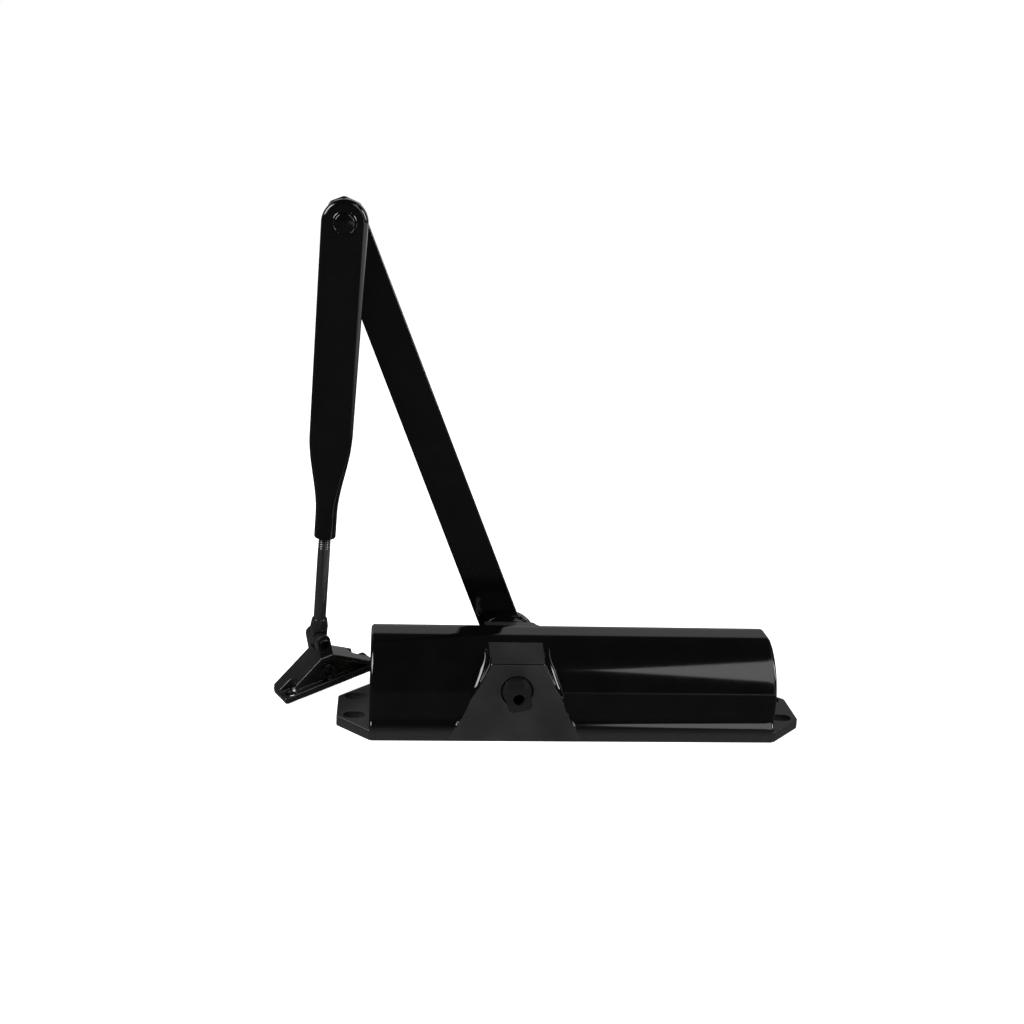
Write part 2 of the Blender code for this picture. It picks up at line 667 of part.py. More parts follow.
RACK_LINE = PITCH_RADIUS
SLOT_CEILING = PITCH_RADIUS + 1.3 * GEAR_MODULE
PISTON_SLOT_FLOOR = -(GEAR_TIP_RADIUS + 0.6 * MM)
PISTON_SLOT_RIGHT = GEAR_TIP_RADIUS + 1.0 * MM
PISTON_SLOT_LEFT = -(GEAR_TIP_RADIUS + 1.0 * MM + PISTON_STROKE)
SEAL_GROOVE_LEFT = 2.0 * MM
SEAL_GROOVE_WIDTH = 3.0 * MM
SEAL_GROOVE_DEPTH = 1.6 * MM
CHECK_POCKET_DEPTH = 6.0 * MM
CHECK_POCKET_RADIUS = 4.0 * MM
CHECK_PASSAGE_RADIUS = 1.8 * MM
CHECK_BALL_RADIUS = 2.6 * MM


def rack_slot_outline():
    """The slot round the pinion, as (x, z) about its axis, with the rack along its ceiling."""
    pitch = math.pi * GEAR_MODULE
    tip = RACK_LINE - RACK_TIP_DROP
    half_at_line = pitch / 4 - BACKLASH / 4
    lean = math.tan(PRESSURE_ANGLE)
    half_tip = half_at_line - (RACK_LINE - tip) * lean
    half_root = half_at_line + (SLOT_CEILING - RACK_LINE) * lean
    points = [(PISTON_SLOT_LEFT, PISTON_SLOT_FLOOR), (PISTON_SLOT_RIGHT, PISTON_SLOT_FLOOR)]
    points += [(PISTON_SLOT_RIGHT, SLOT_CEILING)]
    tooth = 1
    while tooth * pitch - half_root > PISTON_SLOT_LEFT + 1 * MM:
        centre = tooth * pitch
        points += [(centre + half_root, SLOT_CEILING), (centre + half_tip, tip)]
        points += [(centre - half_tip, tip), (centre - half_root, SLOT_CEILING)]
        tooth -= 1
    return points + [(PISTON_SLOT_LEFT, SLOT_CEILING)]


def make_piston():
    left = PISTON_LEFT
    groove = left + SEAL_GROOVE_LEFT
    groove_end = groove + SEAL_GROOVE_WIDTH
    floor = PISTON_RADIUS - SEAL_GROOVE_DEPTH
    profile = [(0, PISTON_RIGHT), (PISTON_RADIUS - 1 * MM, PISTON_RIGHT)]
    profile += [(PISTON_RADIUS, PISTON_RIGHT - 1 * MM)]
    profile += [(PISTON_RADIUS, groove_end), (floor, groove_end), (floor, groove), (PISTON_RADIUS, groove)]
    profile += [(PISTON_RADIUS, left), (0, left)]
    piston = turned("piston", profile, BORE_FRAME, ALONG_X, 40)
    through = 3 * PISTON_RADIUS
    gear_room = GEAR_WIDTH + 2 * CLEAR + 0.8 * MM
    toothed = plate("rack_slot_cutter", rack_slot_outline(), gear_room, PINION_FRAME, FACING_Y, CUTTERS)
    cut(piston, toothed)
    for side in (-1, 1):
        start, end = sorted((side * (gear_room / 2 - 0.2 * MM), side * through / 2))
        low = (PISTON_SLOT_LEFT, start, PISTON_SLOT_FLOOR)
        high = (PISTON_SLOT_RIGHT, end, SLOT_CEILING)
        cut(piston, block(f"journal_slot_{side}", low, high, PINION_FRAME, collection=CUTTERS))
    pocket = left + CHECK_POCKET_DEPTH
    slot_left = PINION_X + PISTON_SLOT_LEFT
    profile = [(0, slot_left + 2 * MM), (CHECK_PASSAGE_RADIUS, slot_left + 2 * MM)]
    profile += [(CHECK_PASSAGE_RADIUS, pocket)]
    profile += [(CHECK_POCKET_RADIUS, pocket), (CHECK_POCKET_RADIUS, left - 2 * MM), (0, left - 2 * MM)]
    cut(piston, turned("check_pocket_cutter", profile, BORE_FRAME, ALONG_X, 16, CUTTERS))
    as_part(piston, IRON)

    seal_outer = PISTON_RADIUS + 0.1 * MM
    low = groove + CLEAR
    high = groove_end - CLEAR
    seal = ring("piston_seal", floor + CLEAR, seal_outer, low, high, BORE_FRAME, ALONG_X, 40)
    as_part(seal, RUBBER)
    bm = bmesh.new()
    bmesh.ops.create_uvsphere(bm, u_segments=12, v_segments=8, radius=CHECK_BALL_RADIUS)
    ball_x = pocket - 2.2 * MM
    as_part(mesh_object("check_ball", bm, BORE_FRAME, shift(x=ball_x), PARTS), STEEL)
    keep = CHECK_POCKET_RADIUS - CLEAR
    keeper = ring("check_ball_keeper", 1.5 * MM, keep, left, left + 0.8 * MM, BORE_FRAME, ALONG_X, 16)
    as_part(keeper, BRASS)


def coil_point(share, start, end):
    """A point on the spring's centre line; the first and last coils lie nearly flat."""
    angle = 2 * math.pi * SPRING_TURNS * share
    flat = 0.85 / SPRING_TURNS
    flat_rise = 2.25 * SPRING_WIRE_RADIUS
    low = start + SPRING_WIRE_RADIUS
    high = end - SPRING_WIRE_RADIUS
    if share < flat:
        x = low + flat_rise * share / flat
    elif share > 1 - flat:
        x = high - flat_rise * (1 - share) / flat
    else:
        x = low + flat_rise + (high - low - 2 * flat_rise) * (share - flat) / (1 - 2 * flat)
    return (x, SPRING_MEAN_RADIUS * math.cos(angle), SPRING_MEAN_RADIUS * math.sin(angle))


def make_closing_spring():
    start = PISTON_RIGHT + CLEAR
    end = SEAT_FACE - CLEAR
    steps = int(SPRING_TURNS * 14)
    curve = bpy.data.curves.new("closing_spring_line", "CURVE")
    curve.dimensions = "3D"
    curve.bevel_depth = SPRING_WIRE_RADIUS
    curve.bevel_resolution = 2
    curve.use_fill_caps = True
    spline = curve.splines.new("POLY")
    spline.points.add(steps)
    for i, point in enumerate(spline.points):
        point.co = (*coil_point(i / steps, start, end), 1)
    coil = bpy.data.objects.new("closing_spring", curve)
    place(coil, BORE_FRAME, Matrix(), PARTS)
    return as_part(coil, SPRING_STEEL)


def make_spring_adjuster():
    hole = ADJUSTER_RADIUS + THREAD_CLEAR
    face = SEAT_FACE
    back = face + SEAT_THICKNESS
    profile = [(hole, SEAT_HUB_END), (SEAT_HUB_RADIUS, SEAT_HUB_END), (SEAT_HUB_RADIUS, back)]
    profile += [(SEAT_RADIUS, back), (SEAT_RADIUS, face), (hole, face)]
    as_part(turned("spring_seat", profile, BORE_FRAME, ALONG_X, 36), STEEL)
    collar_start = PLUG_INNER + CLEAR
    collar_end = collar_start + ADJUSTER_COLLAR_LENGTH
    tip = face - ADJUSTER_TRAVEL - 2 * MM
    head = PLUG_OUTER - 0.5 * MM
    profile = [(0, head), (ADJUSTER_RADIUS, head), (ADJUSTER_RADIUS, collar_end)]
    profile += [(ADJUSTER_COLLAR_RADIUS, collar_end), (ADJUSTER_COLLAR_RADIUS, collar_start)]
    profile += [(ADJUSTER_RADIUS, collar_start), (ADJUSTER_RADIUS, tip), (0, tip)]
    screw = turned("power_adjust_screw", profile, BORE_FRAME, ALONG_X, 24)
    key_outline = regular_outline(4 * MM, 6)
    matrix = shift(x=head) @ ALONG_X
    key = plate("power_key_cutter", key_outline, 8 * MM, BORE_FRAME, matrix, CUTTERS)
    as_part(cut(screw, key), STEEL)


# ---- regulating valves ----

VALVE_GROOVE = (5.0 * MM, 7.2 * MM)
VALVE_GROOVE_FLOOR = 2.1 * MM


def make_valves():
    """Three needle valves, each with its seal, set into the ends of the casting."""
    top_groove, low_groove = VALVE_GROOVE
    for name, end, side in VALVES:
        turn = ALONG_X if end > 0 else Matrix.Rotation(math.radians(-90.0), 4, "Y")
        matrix = shift(end * (HALF_LENGTH - VALVE_RECESS), side * VALVE_SIDE, VALVE_HEIGHT) @ turn
        frame = empty(name + "_axis", matrix)
        profile = [(0, 0), (VALVE_RADIUS, 0), (VALVE_RADIUS, -top_groove)]
        profile += [(VALVE_GROOVE_FLOOR, -top_groove)]
        profile += [(VALVE_GROOVE_FLOOR, -low_groove), (VALVE_RADIUS, -low_groove)]
        profile += [(VALVE_RADIUS, -VALVE_LENGTH + 6 * MM)]
        profile += [(1.6 * MM, -VALVE_LENGTH + 5 * MM), (0, -VALVE_LENGTH)]
        valve = turned(name, profile, frame, steps=20)
        wide = VALVE_RADIUS + 1 * MM
        low = (-wide, -0.5 * MM, -1.4 * MM)
        high = (wide, 0.5 * MM, 1 * MM)
        as_part(cut(valve, block(name + "_slot", low, high, frame, collection=CUTTERS)), BRASS)
        start, stop = -low_groove + CLEAR, -top_groove - CLEAR
        seal = ring(name + "_seal", VALVE_GROOVE_FLOOR + CLEAR, VALVE_RADIUS, start, stop, frame, steps=20)
        as_part(seal, RUBBER)


# ---- main arm and its fasteners ----

def arm_outline():
    """The bar as (x, z) with the pinion at the origin and the elbow up at ARM_LENGTH."""
    hub = HUB_RADIUS + 1.5 * MM
    top = ARM_LENGTH + ARM_TIP_OVERHANG
    neck = top - ARM_TIP_CHAMFER
    tip = ARM_TIP_HALF_WIDTH
    side = math.degrees(math.acos(ARM_HUB_HALF_WIDTH / hub))
    left = [(-tip, neck)]
    left += arc((0, 0), hub, 180 - side, 360 + side, 16)
    left += [(tip, neck), (tip - ARM_TIP_CHAMFER, top), (-tip + ARM_TIP_CHAMFER, top)]
    return left


def make_main_arm():
    middle = ARM_FRONT + ARM_THICKNESS / 2
    arm = plate("main_arm", arm_outline(), ARM_THICKNESS, ARM_FRAME, shift(y=middle) @ FACING_Y)
    hub_end = ARM_FRONT + ARM_THICKNESS / 2
    hub = rod("arm_hub", HUB_RADIUS, HUB_FACE, hub_end, ARM_FRAME, ALONG_Y, 36, CUTTERS)
    join(arm, hub)
    hole = regular_outline(SQUARE_ACROSS_FLATS + 2 * CLEAR, 4, SQUARE_TWIST)
    depth = 60 * MM
    square = plate("hub_square_cutter", hole, depth, PINION_FRAME, shift(y=ARM_FRONT) @ FACING_Y, CUTTERS)
    elbow = rod("elbow_hole_cutter", RIVET_RADIUS + CLEAR, 0, 80 * MM, ELBOW_FRAME, ALONG_Y, 24, CUTTERS)
    cut(arm, square, elbow)
    return as_part(arm, BLACK)


def make_arm_fasteners():
    start = ARM_FRONT + ARM_THICKNESS + CLEAR
    hole = ARM_SCREW_SHANK + 2 * CLEAR
    end = start + ARM_WASHER_THICKNESS
    washer = ring("arm_washer", hole, ARM_WASHER_RADIUS, start, end, ARM_FRAME, ALONG_Y, 28)
    as_part(washer, DARK_STEEL)
    head = start + ARM_WASHER_THICKNESS + CLEAR
    tip = BOSS_FACE + SHAFT_PROUD - TAPPED_DEPTH + 1.5 * MM
    screw = rod("arm_screw", ARM_SCREW_SHANK, tip, head + 1 * MM, ARM_FRAME, ALONG_Y, 16)
    outline = regular_outline(ARM_SCREW_HEAD_FLATS, 6)
    matrix = shift(y=head + ARM_SCREW_HEAD_HEIGHT / 2) @ FACING_Y
    hexagon = plate("arm_screw_head", outline, ARM_SCREW_HEAD_HEIGHT, ARM_FRAME, matrix, CUTTERS)
    as_part(join(screw, hexagon), DARK_STEEL)


def make_elbow_rivet():
    """A shouldered rivet: its near head sits in the forearm, its far head behind the arm."""
    near = FOREARM_FRONT - 0.4 * MM
    near_end = near + RIVET_HEAD_THICKNESS
    far = ARM_FRONT + ARM_THICKNESS + CLEAR
    far_end = far + RIVET_HEAD_THICKNESS
    head = RIVET_HEAD_RADIUS
    rim = 1.3 * MM
    profile = [(0, far_end), (head - rim, far_end), (head, far + 0.4 * MM), (head, far)]
    profile += [(RIVET_RADIUS, far), (RIVET_RADIUS, near_end), (head, near_end)]
    profile += [(head, near + 0.4 * MM), (head - rim, near), (0, near)]
    as_part(turned("elbow_rivet", profile, ELBOW_FRAME, ALONG_Y, 28), BLACK)
    start = FOREARM_BACK + CLEAR
    end = start + ELBOW_WASHER_THICKNESS
    hole = RIVET_RADIUS + CLEAR
    washer = ring("elbow_washer", hole, ELBOW_WASHER_RADIUS, start, end, ELBOW_FRAME, ALONG_Y, 28)
    as_part(washer, DARK_STEEL)


# ---- forearm, rod, rod end and shoe ----

def forearm_stations():
    """(distance below the elbow, half width, half depth) down the forearm."""
    radius = FOREARM_ELBOW_HALF_WIDTH
    depth = FOREARM_DEPTH / 2
    stations = []
    for angle in (14, 30, 50, 70, 90):
        turn = math.radians(angle)
        stations.append((-radius * math.cos(turn), radius * math.sin(turn), depth))
    stations.append((FOREARM_TAPER_START, FOREARM_WAIST_HALF_WIDTH, depth))
    steps = 6
    for step in range(1, steps + 1):
        share = step / steps
        ease = share * share * (3 - 2 * share)
        width = FOREARM_WAIST_HALF_WIDTH + (FOREARM_TUBE_RADIUS - FOREARM_WAIST_HALF_WIDTH) * ease
        thick = depth + (FOREARM_TUBE_RADIUS - depth) * ease
        taper = FOREARM_TAPER_END - FOREARM_TAPER_START
        stations.append((FOREARM_TAPER_START + taper * share, width, thick))
    stations.append((FOREARM_LENGTH, FOREARM_TUBE_RADIUS, FOREARM_TUBE_RADIUS))
    return stations


def forearm_corner(distance):
    """The corner radius grows from the flat part's edge to the round tube."""
    share = (distance - FOREARM_TAPER_START) / (FOREARM_TAPER_END - FOREARM_TAPER_START)
    share = min(max(share, 0), 1)
    return FOREARM_CORNER + (FOREARM_TUBE_RADIUS - FOREARM_CORNER) * share


def make_forearm():
    rings = []
    for distance, half_width, half_depth in forearm_stations():
        outline = rounded_rectangle(half_width, half_depth, forearm_corner(distance))
        rings.append([(x, y, -distance) for x, y in outline])
    forearm = loft("forearm", rings, ROD_FRAME)
    hole = RIVET_RADIUS + CLEAR
    recess = RIVET_HEAD_RADIUS + CLEAR
    floor = FOREARM_FRONT - 0.4 * MM + RIVET_HEAD_THICKNESS + CLEAR
    far = FOREARM_BACK + 5 * MM
    near = FOREARM_FRONT - 5 * MM
    profile = [(0, far), (hole, far), (hole, floor), (recess, floor), (recess, near), (0, near)]
    pivot = turned("forearm_pivot_cutter", profile, ELBOW_FRAME, ALONG_Y, 28, CUTTERS)
    low = -FOREARM_LENGTH - 5 * MM
    high = -FOREARM_LENGTH + ROD_BORE_DEPTH
    socket = rod("rod_bore_cutter", ROD_RADIUS + THREAD_CLEAR, low, high, ROD_FRAME, Matrix(), 20, CUTTERS)
    return as_part(cut(forearm, pivot, socket), BLACK)


def make_adjusting_rod():
    top = -FOREARM_LENGTH + ROD_ENGAGEMENT
    bottom = -PIN_DISTANCE + ROD_END_TOP - ROD_SOCKET_DEPTH + CLEAR
    chamfer = 0.8 * MM
    profile = [(0, top), (ROD_RADIUS - chamfer, top), (ROD_RADIUS, top - chamfer)]
    profile += [(ROD_RADIUS, bottom), (0, bottom)]
    return as_part(turned("adjusting_rod", profile, ROD_FRAME, Matrix(), 20), BLACK)


def make_rod_end():
    """A tapered collar with a flat tongue below it, pinned between the shoe's ears."""
    floor = ROD_END_TOP - ROD_SOCKET_DEPTH
    base = EAR_TOP + CLEAR
    hole = ROD_RADIUS + CLEAR
    profile = [(0, floor), (hole, floor), (hole, ROD_END_TOP), (hole + 0.5 * MM, ROD_END_TOP)]
    profile += [(ROD_END_RADIUS, ROD_END_SHOULDER), (ROD_END_RADIUS - 0.5 * MM, base), (0, base)]
    collar = turned("rod_end", profile, PIN_FRAME, Matrix(), 24)
    outline = arc((0, 0), TONGUE_RADIUS, 180, 360, 10)
    outline += [(TONGUE_RADIUS, base + 0.8 * MM), (-TONGUE_RADIUS, base + 0.8 * MM)]
    tongue = plate("tongue", outline, TONGUE_THICKNESS, PIN_FRAME, FACING_Y, CUTTERS)
    join(collar, tongue)
    eye = SHOE_PIN_RADIUS + CLEAR
    reach = 10 * MM
    cut(collar, rod("eye_cutter", eye, -reach, reach, PIN_FRAME, ALONG_Y, 16, CUTTERS))
    return as_part(collar, BLACK)


def shoe_leg_outline():
    """The gusset's side view as (x, z) about the pin: two sloping legs on the base plate."""
    top = LEG_TOP_HEIGHT - PIN_HEIGHT
    plate_top = SHOE_PLATE_THICKNESS - PIN_HEIGHT
    foot = SHOE_HALF_LENGTH - LEG_END_INSET
    right = [(foot, plate_top - 1 * MM), (foot, plate_top + LEG_END_HEIGHT), (EAR_HALF_WIDTH, top)]
    left = [(-x, z) for x, z in reversed(right)]
    return right + left


def shoe_pocket_outline():
    """The triangular hollow between the legs, which leaves the web behind it."""
    plate_top = SHOE_PLATE_THICKNESS - PIN_HEIGHT
    foot = SHOE_HALF_LENGTH - LEG_END_INSET
    rise = LEG_TOP_HEIGHT - SHOE_PLATE_THICKNESS - LEG_END_HEIGHT
    slope = rise / (foot - EAR_HALF_WIDTH)
    wall = LEG_WALL * math.hypot(1, slope)
    low = plate_top + 0.6 * MM
    apex = LEG_TOP_HEIGHT - PIN_HEIGHT - wall + slope * EAR_HALF_WIDTH
    reach = (apex - low) / slope
    blunt = 2.5 * MM
    peak = apex - slope * blunt
    return [(reach, low), (blunt, peak), (-blunt, peak), (-reach, low)]


def make_shoe():
    """Base plate, hollowed gusset with a ringed hole, and two ears for the rod end."""
    outline = rounded_rectangle(SHOE_HALF_LENGTH, SHOE_HALF_WIDTH, SHOE_CORNER)
    middle = SHOE_PLATE_THICKNESS / 2 - PIN_HEIGHT
    shoe = plate("shoe_bracket", outline, SHOE_PLATE_THICKNESS, SHOE_FRAME, shift(z=middle))
    legs = plate("shoe_legs", shoe_leg_outline(), 2 * LEG_HALF_WIDTH, SHOE_FRAME, FACING_Y, CUTTERS)
    gap = TONGUE_THICKNESS + 2 * CLEAR
    ears_width = gap + 2 * EAR_THICKNESS
    ear_outline = arc((0, EAR_TOP - EAR_HALF_WIDTH), EAR_HALF_WIDTH, 0, 180, 10)
    ear_foot = LEG_TOP_HEIGHT - PIN_HEIGHT - 2 * MM
    ear_outline += [(-EAR_HALF_WIDTH, ear_foot), (EAR_HALF_WIDTH, ear_foot)]
    ears = plate("shoe_ears", ear_outline, ears_width, SHOE_FRAME, FACING_Y, CUTTERS)
    join(shoe, legs, ears)
    pocket_depth = LEG_HALF_WIDTH - WEB_HALF_THICKNESS
    for side in (-1, 1):
        centre = side * (WEB_HALF_THICKNESS + pocket_depth / 2 + 1 * MM)
        matrix = shift(y=centre) @ FACING_Y
        name = f"shoe_pocket_{side}"
        cut(shoe, plate(name, shoe_pocket_outline(), pocket_depth + 2 * MM, SHOE_FRAME, matrix, CUTTERS))
    ring_height = shift(z=RING_HEIGHT - PIN_HEIGHT) @ ALONG_Y
    ring_half = WEB_HALF_THICKNESS + 1.8 * MM
    join(shoe, rod("shoe_ring", RING_RADIUS, -ring_half, ring_half, SHOE_FRAME, ring_height, 20, CUTTERS))
    reach = 20 * MM
    hole = rod("shoe_ring_hole", RING_HOLE_RADIUS, -reach, reach, SHOE_FRAME, ring_height, 16, CUTTERS)
    cut(shoe, hole)
    tongue_room = TONGUE_RADIUS + 4 * CLEAR
    low = (-12 * MM, -gap / 2, -tongue_room)
    high = (12 * MM, gap / 2, 12 * MM)
    cut(shoe, block("tongue_gap_cutter", low, high, SHOE_FRAME, collection=CUTTERS))
    pin_hole = SHOE_PIN_RADIUS + CLEAR
    cut(shoe, rod("pin_hole_cutter", pin_hole, -20 * MM, 20 * MM, SHOE_FRAME, ALONG_Y, 16, CUTTERS))
    cut(shoe, *shoe_screw_cutters(-1), *shoe_screw_cutters(1))
    return as_part(shoe, BLACK)


def shoe_screw_cutters(way):
    """A screw hole by one corner of the base plate, and the notch that clears its head."""
    x = way * (SHOE_HALF_LENGTH - SHOE_HOLE_INSET)
    y = way * SHOE_HOLE_SIDE
    head = SCREW_HEAD_RADIUS
    top = SHOE_PLATE_THICKNESS
    profile = [(0, 30 * MM), (head, 30 * MM), (head, top), (SHOE_HOLE_RADIUS + 1.2 * MM, top)]
    profile += [(SHOE_HOLE_RADIUS, top - 1.2 * MM), (SHOE_HOLE_RADIUS, -5 * MM), (0, -5 * MM)]
    hole = turned(f"shoe_screw_cutter_{way}", profile, SHOE_FRAME, shift(x, y, -PIN_HEIGHT), 18, CUTTERS)
    outer = way * (SHOE_HALF_LENGTH + 5 * MM)
    side = way * (SHOE_HALF_WIDTH + 5 * MM)
    inner = way * (SHOE_HOLE_SIDE - SCREW_HEAD_RADIUS)
    low = (min(x, outer), min(inner, side), top - PIN_HEIGHT)
    high = (max(x, outer), max(inner, side), 30 * MM)
    return [hole, block(f"shoe_notch_{way}", low, high, SHOE_FRAME, collection=CUTTERS)]


def make_shoe_pin():
    half = TONGUE_THICKNESS / 2 + CLEAR + EAR_THICKNESS + CLEAR
    end = half + SHOE_PIN_HEAD_THICKNESS
    head = SHOE_PIN_HEAD_RADIUS
    radius = SHOE_PIN_RADIUS
    profile = [(0, end), (head - 0.6 * MM, end), (head, half + 0.2 * MM), (head, half), (radius, half)]
    profile += [(radius, -half), (head, -half), (head, -half - 0.2 * MM)]
    profile += [(head - 0.6 * MM, -end), (0, -end)]
    return as_part(turned("shoe_pin", profile, SHOE_FRAME, ALONG_Y, 20), DARK_STEEL)


make_body_casting()
make_end_plugs()
make_pinion_shaft()
make_shaft_rings()
make_piston()
make_closing_spring()
make_spring_adjuster()
make_valves()
make_main_arm()
make_arm_fasteners()
make_elbow_rivet()
make_forearm()
make_adjusting_rod()
make_rod_end()
make_shoe()
make_shoe_pin()
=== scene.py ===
"""Looks of the door closer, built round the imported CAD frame. Metres, in the CAD row frame."""

import math

import bmesh
import bpy
import numpy as np
from mathutils import Matrix, Vector


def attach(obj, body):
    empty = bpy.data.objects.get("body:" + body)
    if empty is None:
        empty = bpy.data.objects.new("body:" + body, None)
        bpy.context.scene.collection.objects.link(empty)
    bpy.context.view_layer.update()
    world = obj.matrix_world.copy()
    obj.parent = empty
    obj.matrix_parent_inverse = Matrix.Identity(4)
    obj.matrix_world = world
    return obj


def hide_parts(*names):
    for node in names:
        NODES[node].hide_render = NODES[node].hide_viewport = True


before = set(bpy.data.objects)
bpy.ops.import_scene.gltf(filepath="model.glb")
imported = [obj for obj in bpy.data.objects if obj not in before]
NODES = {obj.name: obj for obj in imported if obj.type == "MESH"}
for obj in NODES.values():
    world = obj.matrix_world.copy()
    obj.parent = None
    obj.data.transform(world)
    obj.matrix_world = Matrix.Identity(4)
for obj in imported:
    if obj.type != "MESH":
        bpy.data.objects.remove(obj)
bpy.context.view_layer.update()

MM = 0.001

# ---- sizes shared with the CAD model ----
HALF_LENGTH = 107.1 * MM
BODY_HEIGHT = 49.7 * MM
BAND_HALF = 30.5 * MM
BAND_TOP = 9.4 * MM
ARCH_RADIUS = 29.7 * MM
ARCH_CENTRE = BODY_HEIGHT - math.sqrt(ARCH_RADIUS**2 - (6.9 * MM) ** 2)
PINION_X = -31.0 * MM
BORE_Z = 28.0 * MM
FOOT_THICKNESS = 5.9 * MM
FOOT_LENGTH = 17.3 * MM
FOOT_END_HALF = 12.9 * MM
SLOT_X = 115.1 * MM
SLOT_Y = 12.0 * MM
VALVE_SIDE = 22.8 * MM
VALVE_HEIGHT = 11.4 * MM
ARM_LENGTH = 250.0 * MM
ARM_LEAN = math.radians(22.1)
FOREARM_LEAN = math.radians(2.86)
ROD_Y = 30.8 * MM
ARM_FRONT = 38.9 * MM
ARM_THICKNESS = 6.0 * MM


def turn_y(angle):
    return Matrix.Rotation(angle, 4, "Y")


def shift(x=0.0, y=0.0, z=0.0):
    return Matrix.Translation((x, y, z))


PINION = shift(PINION_X, 0, BORE_Z)
ARM = PINION @ turn_y(-ARM_LEAN)
ELBOW = ARM @ shift(z=ARM_LENGTH) @ turn_y(ARM_LEAN + FOREARM_LEAN)
ROD = ELBOW @ shift(y=ROD_Y)
ALONG_X = Matrix.Rotation(math.radians(90), 4, "Y")
ALONG_Y = Matrix.Rotation(math.radians(-90), 4, "X")
FACING_Y = Matrix.Rotation(math.radians(90), 4, "X")


# ---- materials ----

def new_material(name, colour, roughness, metallic=0.0, specular=0.5):
    material = bpy.data.materials.new(name)
    material.use_nodes = True
    shader = material.node_tree.nodes["Principled BSDF"]
    shader.inputs["Base Color"].default_value = (*colour, 1)
    shader.inputs["Roughness"].default_value = roughness
    shader.inputs["Metallic"].default_value = metallic
    shader.inputs["Specular IOR Level"].default_value = specular
    return material, material.node_tree, shader


def noise_node(tree, scale, detail=2.0, stretch=(1, 1, 1)):
    place = tree.nodes.new("ShaderNodeTexCoord")
    mapping = tree.nodes.new("ShaderNodeMapping")
    mapping.inputs["Scale"].default_value = stretch
    noise = tree.nodes.new("ShaderNodeTexNoise")
    noise.inputs["Scale"].default_value = scale
    noise.inputs["Detail"].default_value = detail
    tree.links.new(place.outputs["Object"], mapping.inputs["Vector"])
    tree.links.new(mapping.outputs["Vector"], noise.inputs["Vector"])
    return noise.outputs["Fac"]


def vary(tree, source, target, low, high):
    ramp = tree.nodes.new("ShaderNodeMapRange")
    ramp.inputs["To Min"].default_value = low
    ramp.inputs["To Max"].default_value = high
    tree.links.new(source, ramp.inputs["Value"])
    tree.links.new(ramp.outputs["Result"], target)


def tint(tree, source, target, low, high):
    ramp = tree.nodes.new("ShaderNodeValToRGB")
    ramp.color_ramp.elements[0].position = 0.35
    ramp.color_ramp.elements[0].color = (*low, 1)
    ramp.color_ramp.elements[1].position = 0.68
    ramp.color_ramp.elements[1].color = (*high, 1)
    tree.links.new(source, ramp.inputs["Fac"])
    tree.links.new(ramp.outputs["Color"], target)


def add_bump(tree, shader, source, strength, distance):
    bump = tree.nodes.new("ShaderNodeBump")
    bump.inputs["Strength"].default_value = strength
    bump.inputs["Distance"].default_value = distance
    tree.links.new(source, bump.inputs["Height"])
    tree.links.new(bump.outputs["Normal"], shader.inputs["Normal"])


def gloss_paint(name, peel, roughness, scale, tone=0.003, specular=0.36):
    """Black enamel: near-black colour, a slight orange peel and faint variations of gloss."""
    material, tree, shader = new_material(name, (tone, tone, tone), 0.13, specular=specular)
    low = (tone, tone * 0.95, tone * 0.93)
    high = (tone * 1.5, tone * 1.42, tone * 1.38)
    tint(tree, noise_node(tree, 60), shader.inputs["Base Color"], low, high)
    vary(tree, noise_node(tree, 90, 4), shader.inputs["Roughness"], *roughness)
    add_bump(tree, shader, noise_node(tree, scale, 2), peel, 0.00006)
    return material


def fading_paint_with_painted_shade(name, low, high):
    """Casting enamel that goes from satin at one height to gloss at another, with painted shade: its
    colour goes from a lighter grey at the lower height to nearly black at the higher.
    """
    material = gloss_paint(name, 0.05, (0.08, 0.08), 420)
    tree = material.node_tree
    shader = tree.nodes["Principled BSDF"]
    place = tree.nodes.new("ShaderNodeTexCoord")
    split = tree.nodes.new("ShaderNodeSeparateXYZ")
    share = tree.nodes.new("ShaderNodeMapRange")
    share.interpolation_type = "SMOOTHSTEP"
    share.inputs["From Min"].default_value = low
    share.inputs["From Max"].default_value = high
    tree.links.new(place.outputs["Object"], split.inputs["Vector"])
    tree.links.new(split.outputs["Z"], share.inputs["Value"])
    vary(tree, share.outputs["Result"], shader.inputs["Roughness"], 0.36, 0.08)
    # Painted shade: the colour runs from a lighter grey at the low height to nearly black at the high
    # one, standing in for how the light falls on the band.
    ramp = tree.nodes.new("ShaderNodeValToRGB")
    ramp.color_ramp.elements[0].color = (0.014, 0.0135, 0.0132, 1)
    ramp.color_ramp.elements[1].color = (0.0016, 0.0015, 0.0015, 1)
    tree.links.new(share.outputs["Result"], ramp.inputs["Fac"])
    tree.links.new(ramp.outputs["Color"], shader.inputs["Base Color"])
    return material


def metal(name, low, high, roughness, grain=(1, 1, 1)):
    """Machined or blackened steel and brass, with fine tool marks along one direction."""
    material, tree, shader = new_material(name, low, roughness, metallic=1.0)
    tint(tree, noise_node(tree, 160, 3), shader.inputs["Base Color"], low, high)
    vary(tree, noise_node(tree, 240, 3), shader.inputs["Roughness"], roughness * 0.8, roughness * 1.25)
    add_bump(tree, shader, noise_node(tree, 700, 2, grain), 0.12, 0.00005)
    return material


def rubber(name):
    material, tree, shader = new_material(name, (0.015, 0.015, 0.016), 0.65, specular=0.3)
    low, high = (0.010, 0.010, 0.010), (0.022, 0.022, 0.023)
    tint(tree, noise_node(tree, 300, 3), shader.inputs["Base Color"], low, high)
    add_bump(tree, shader, noise_node(tree, 2400, 2), 0.2, 0.00004)
    return material


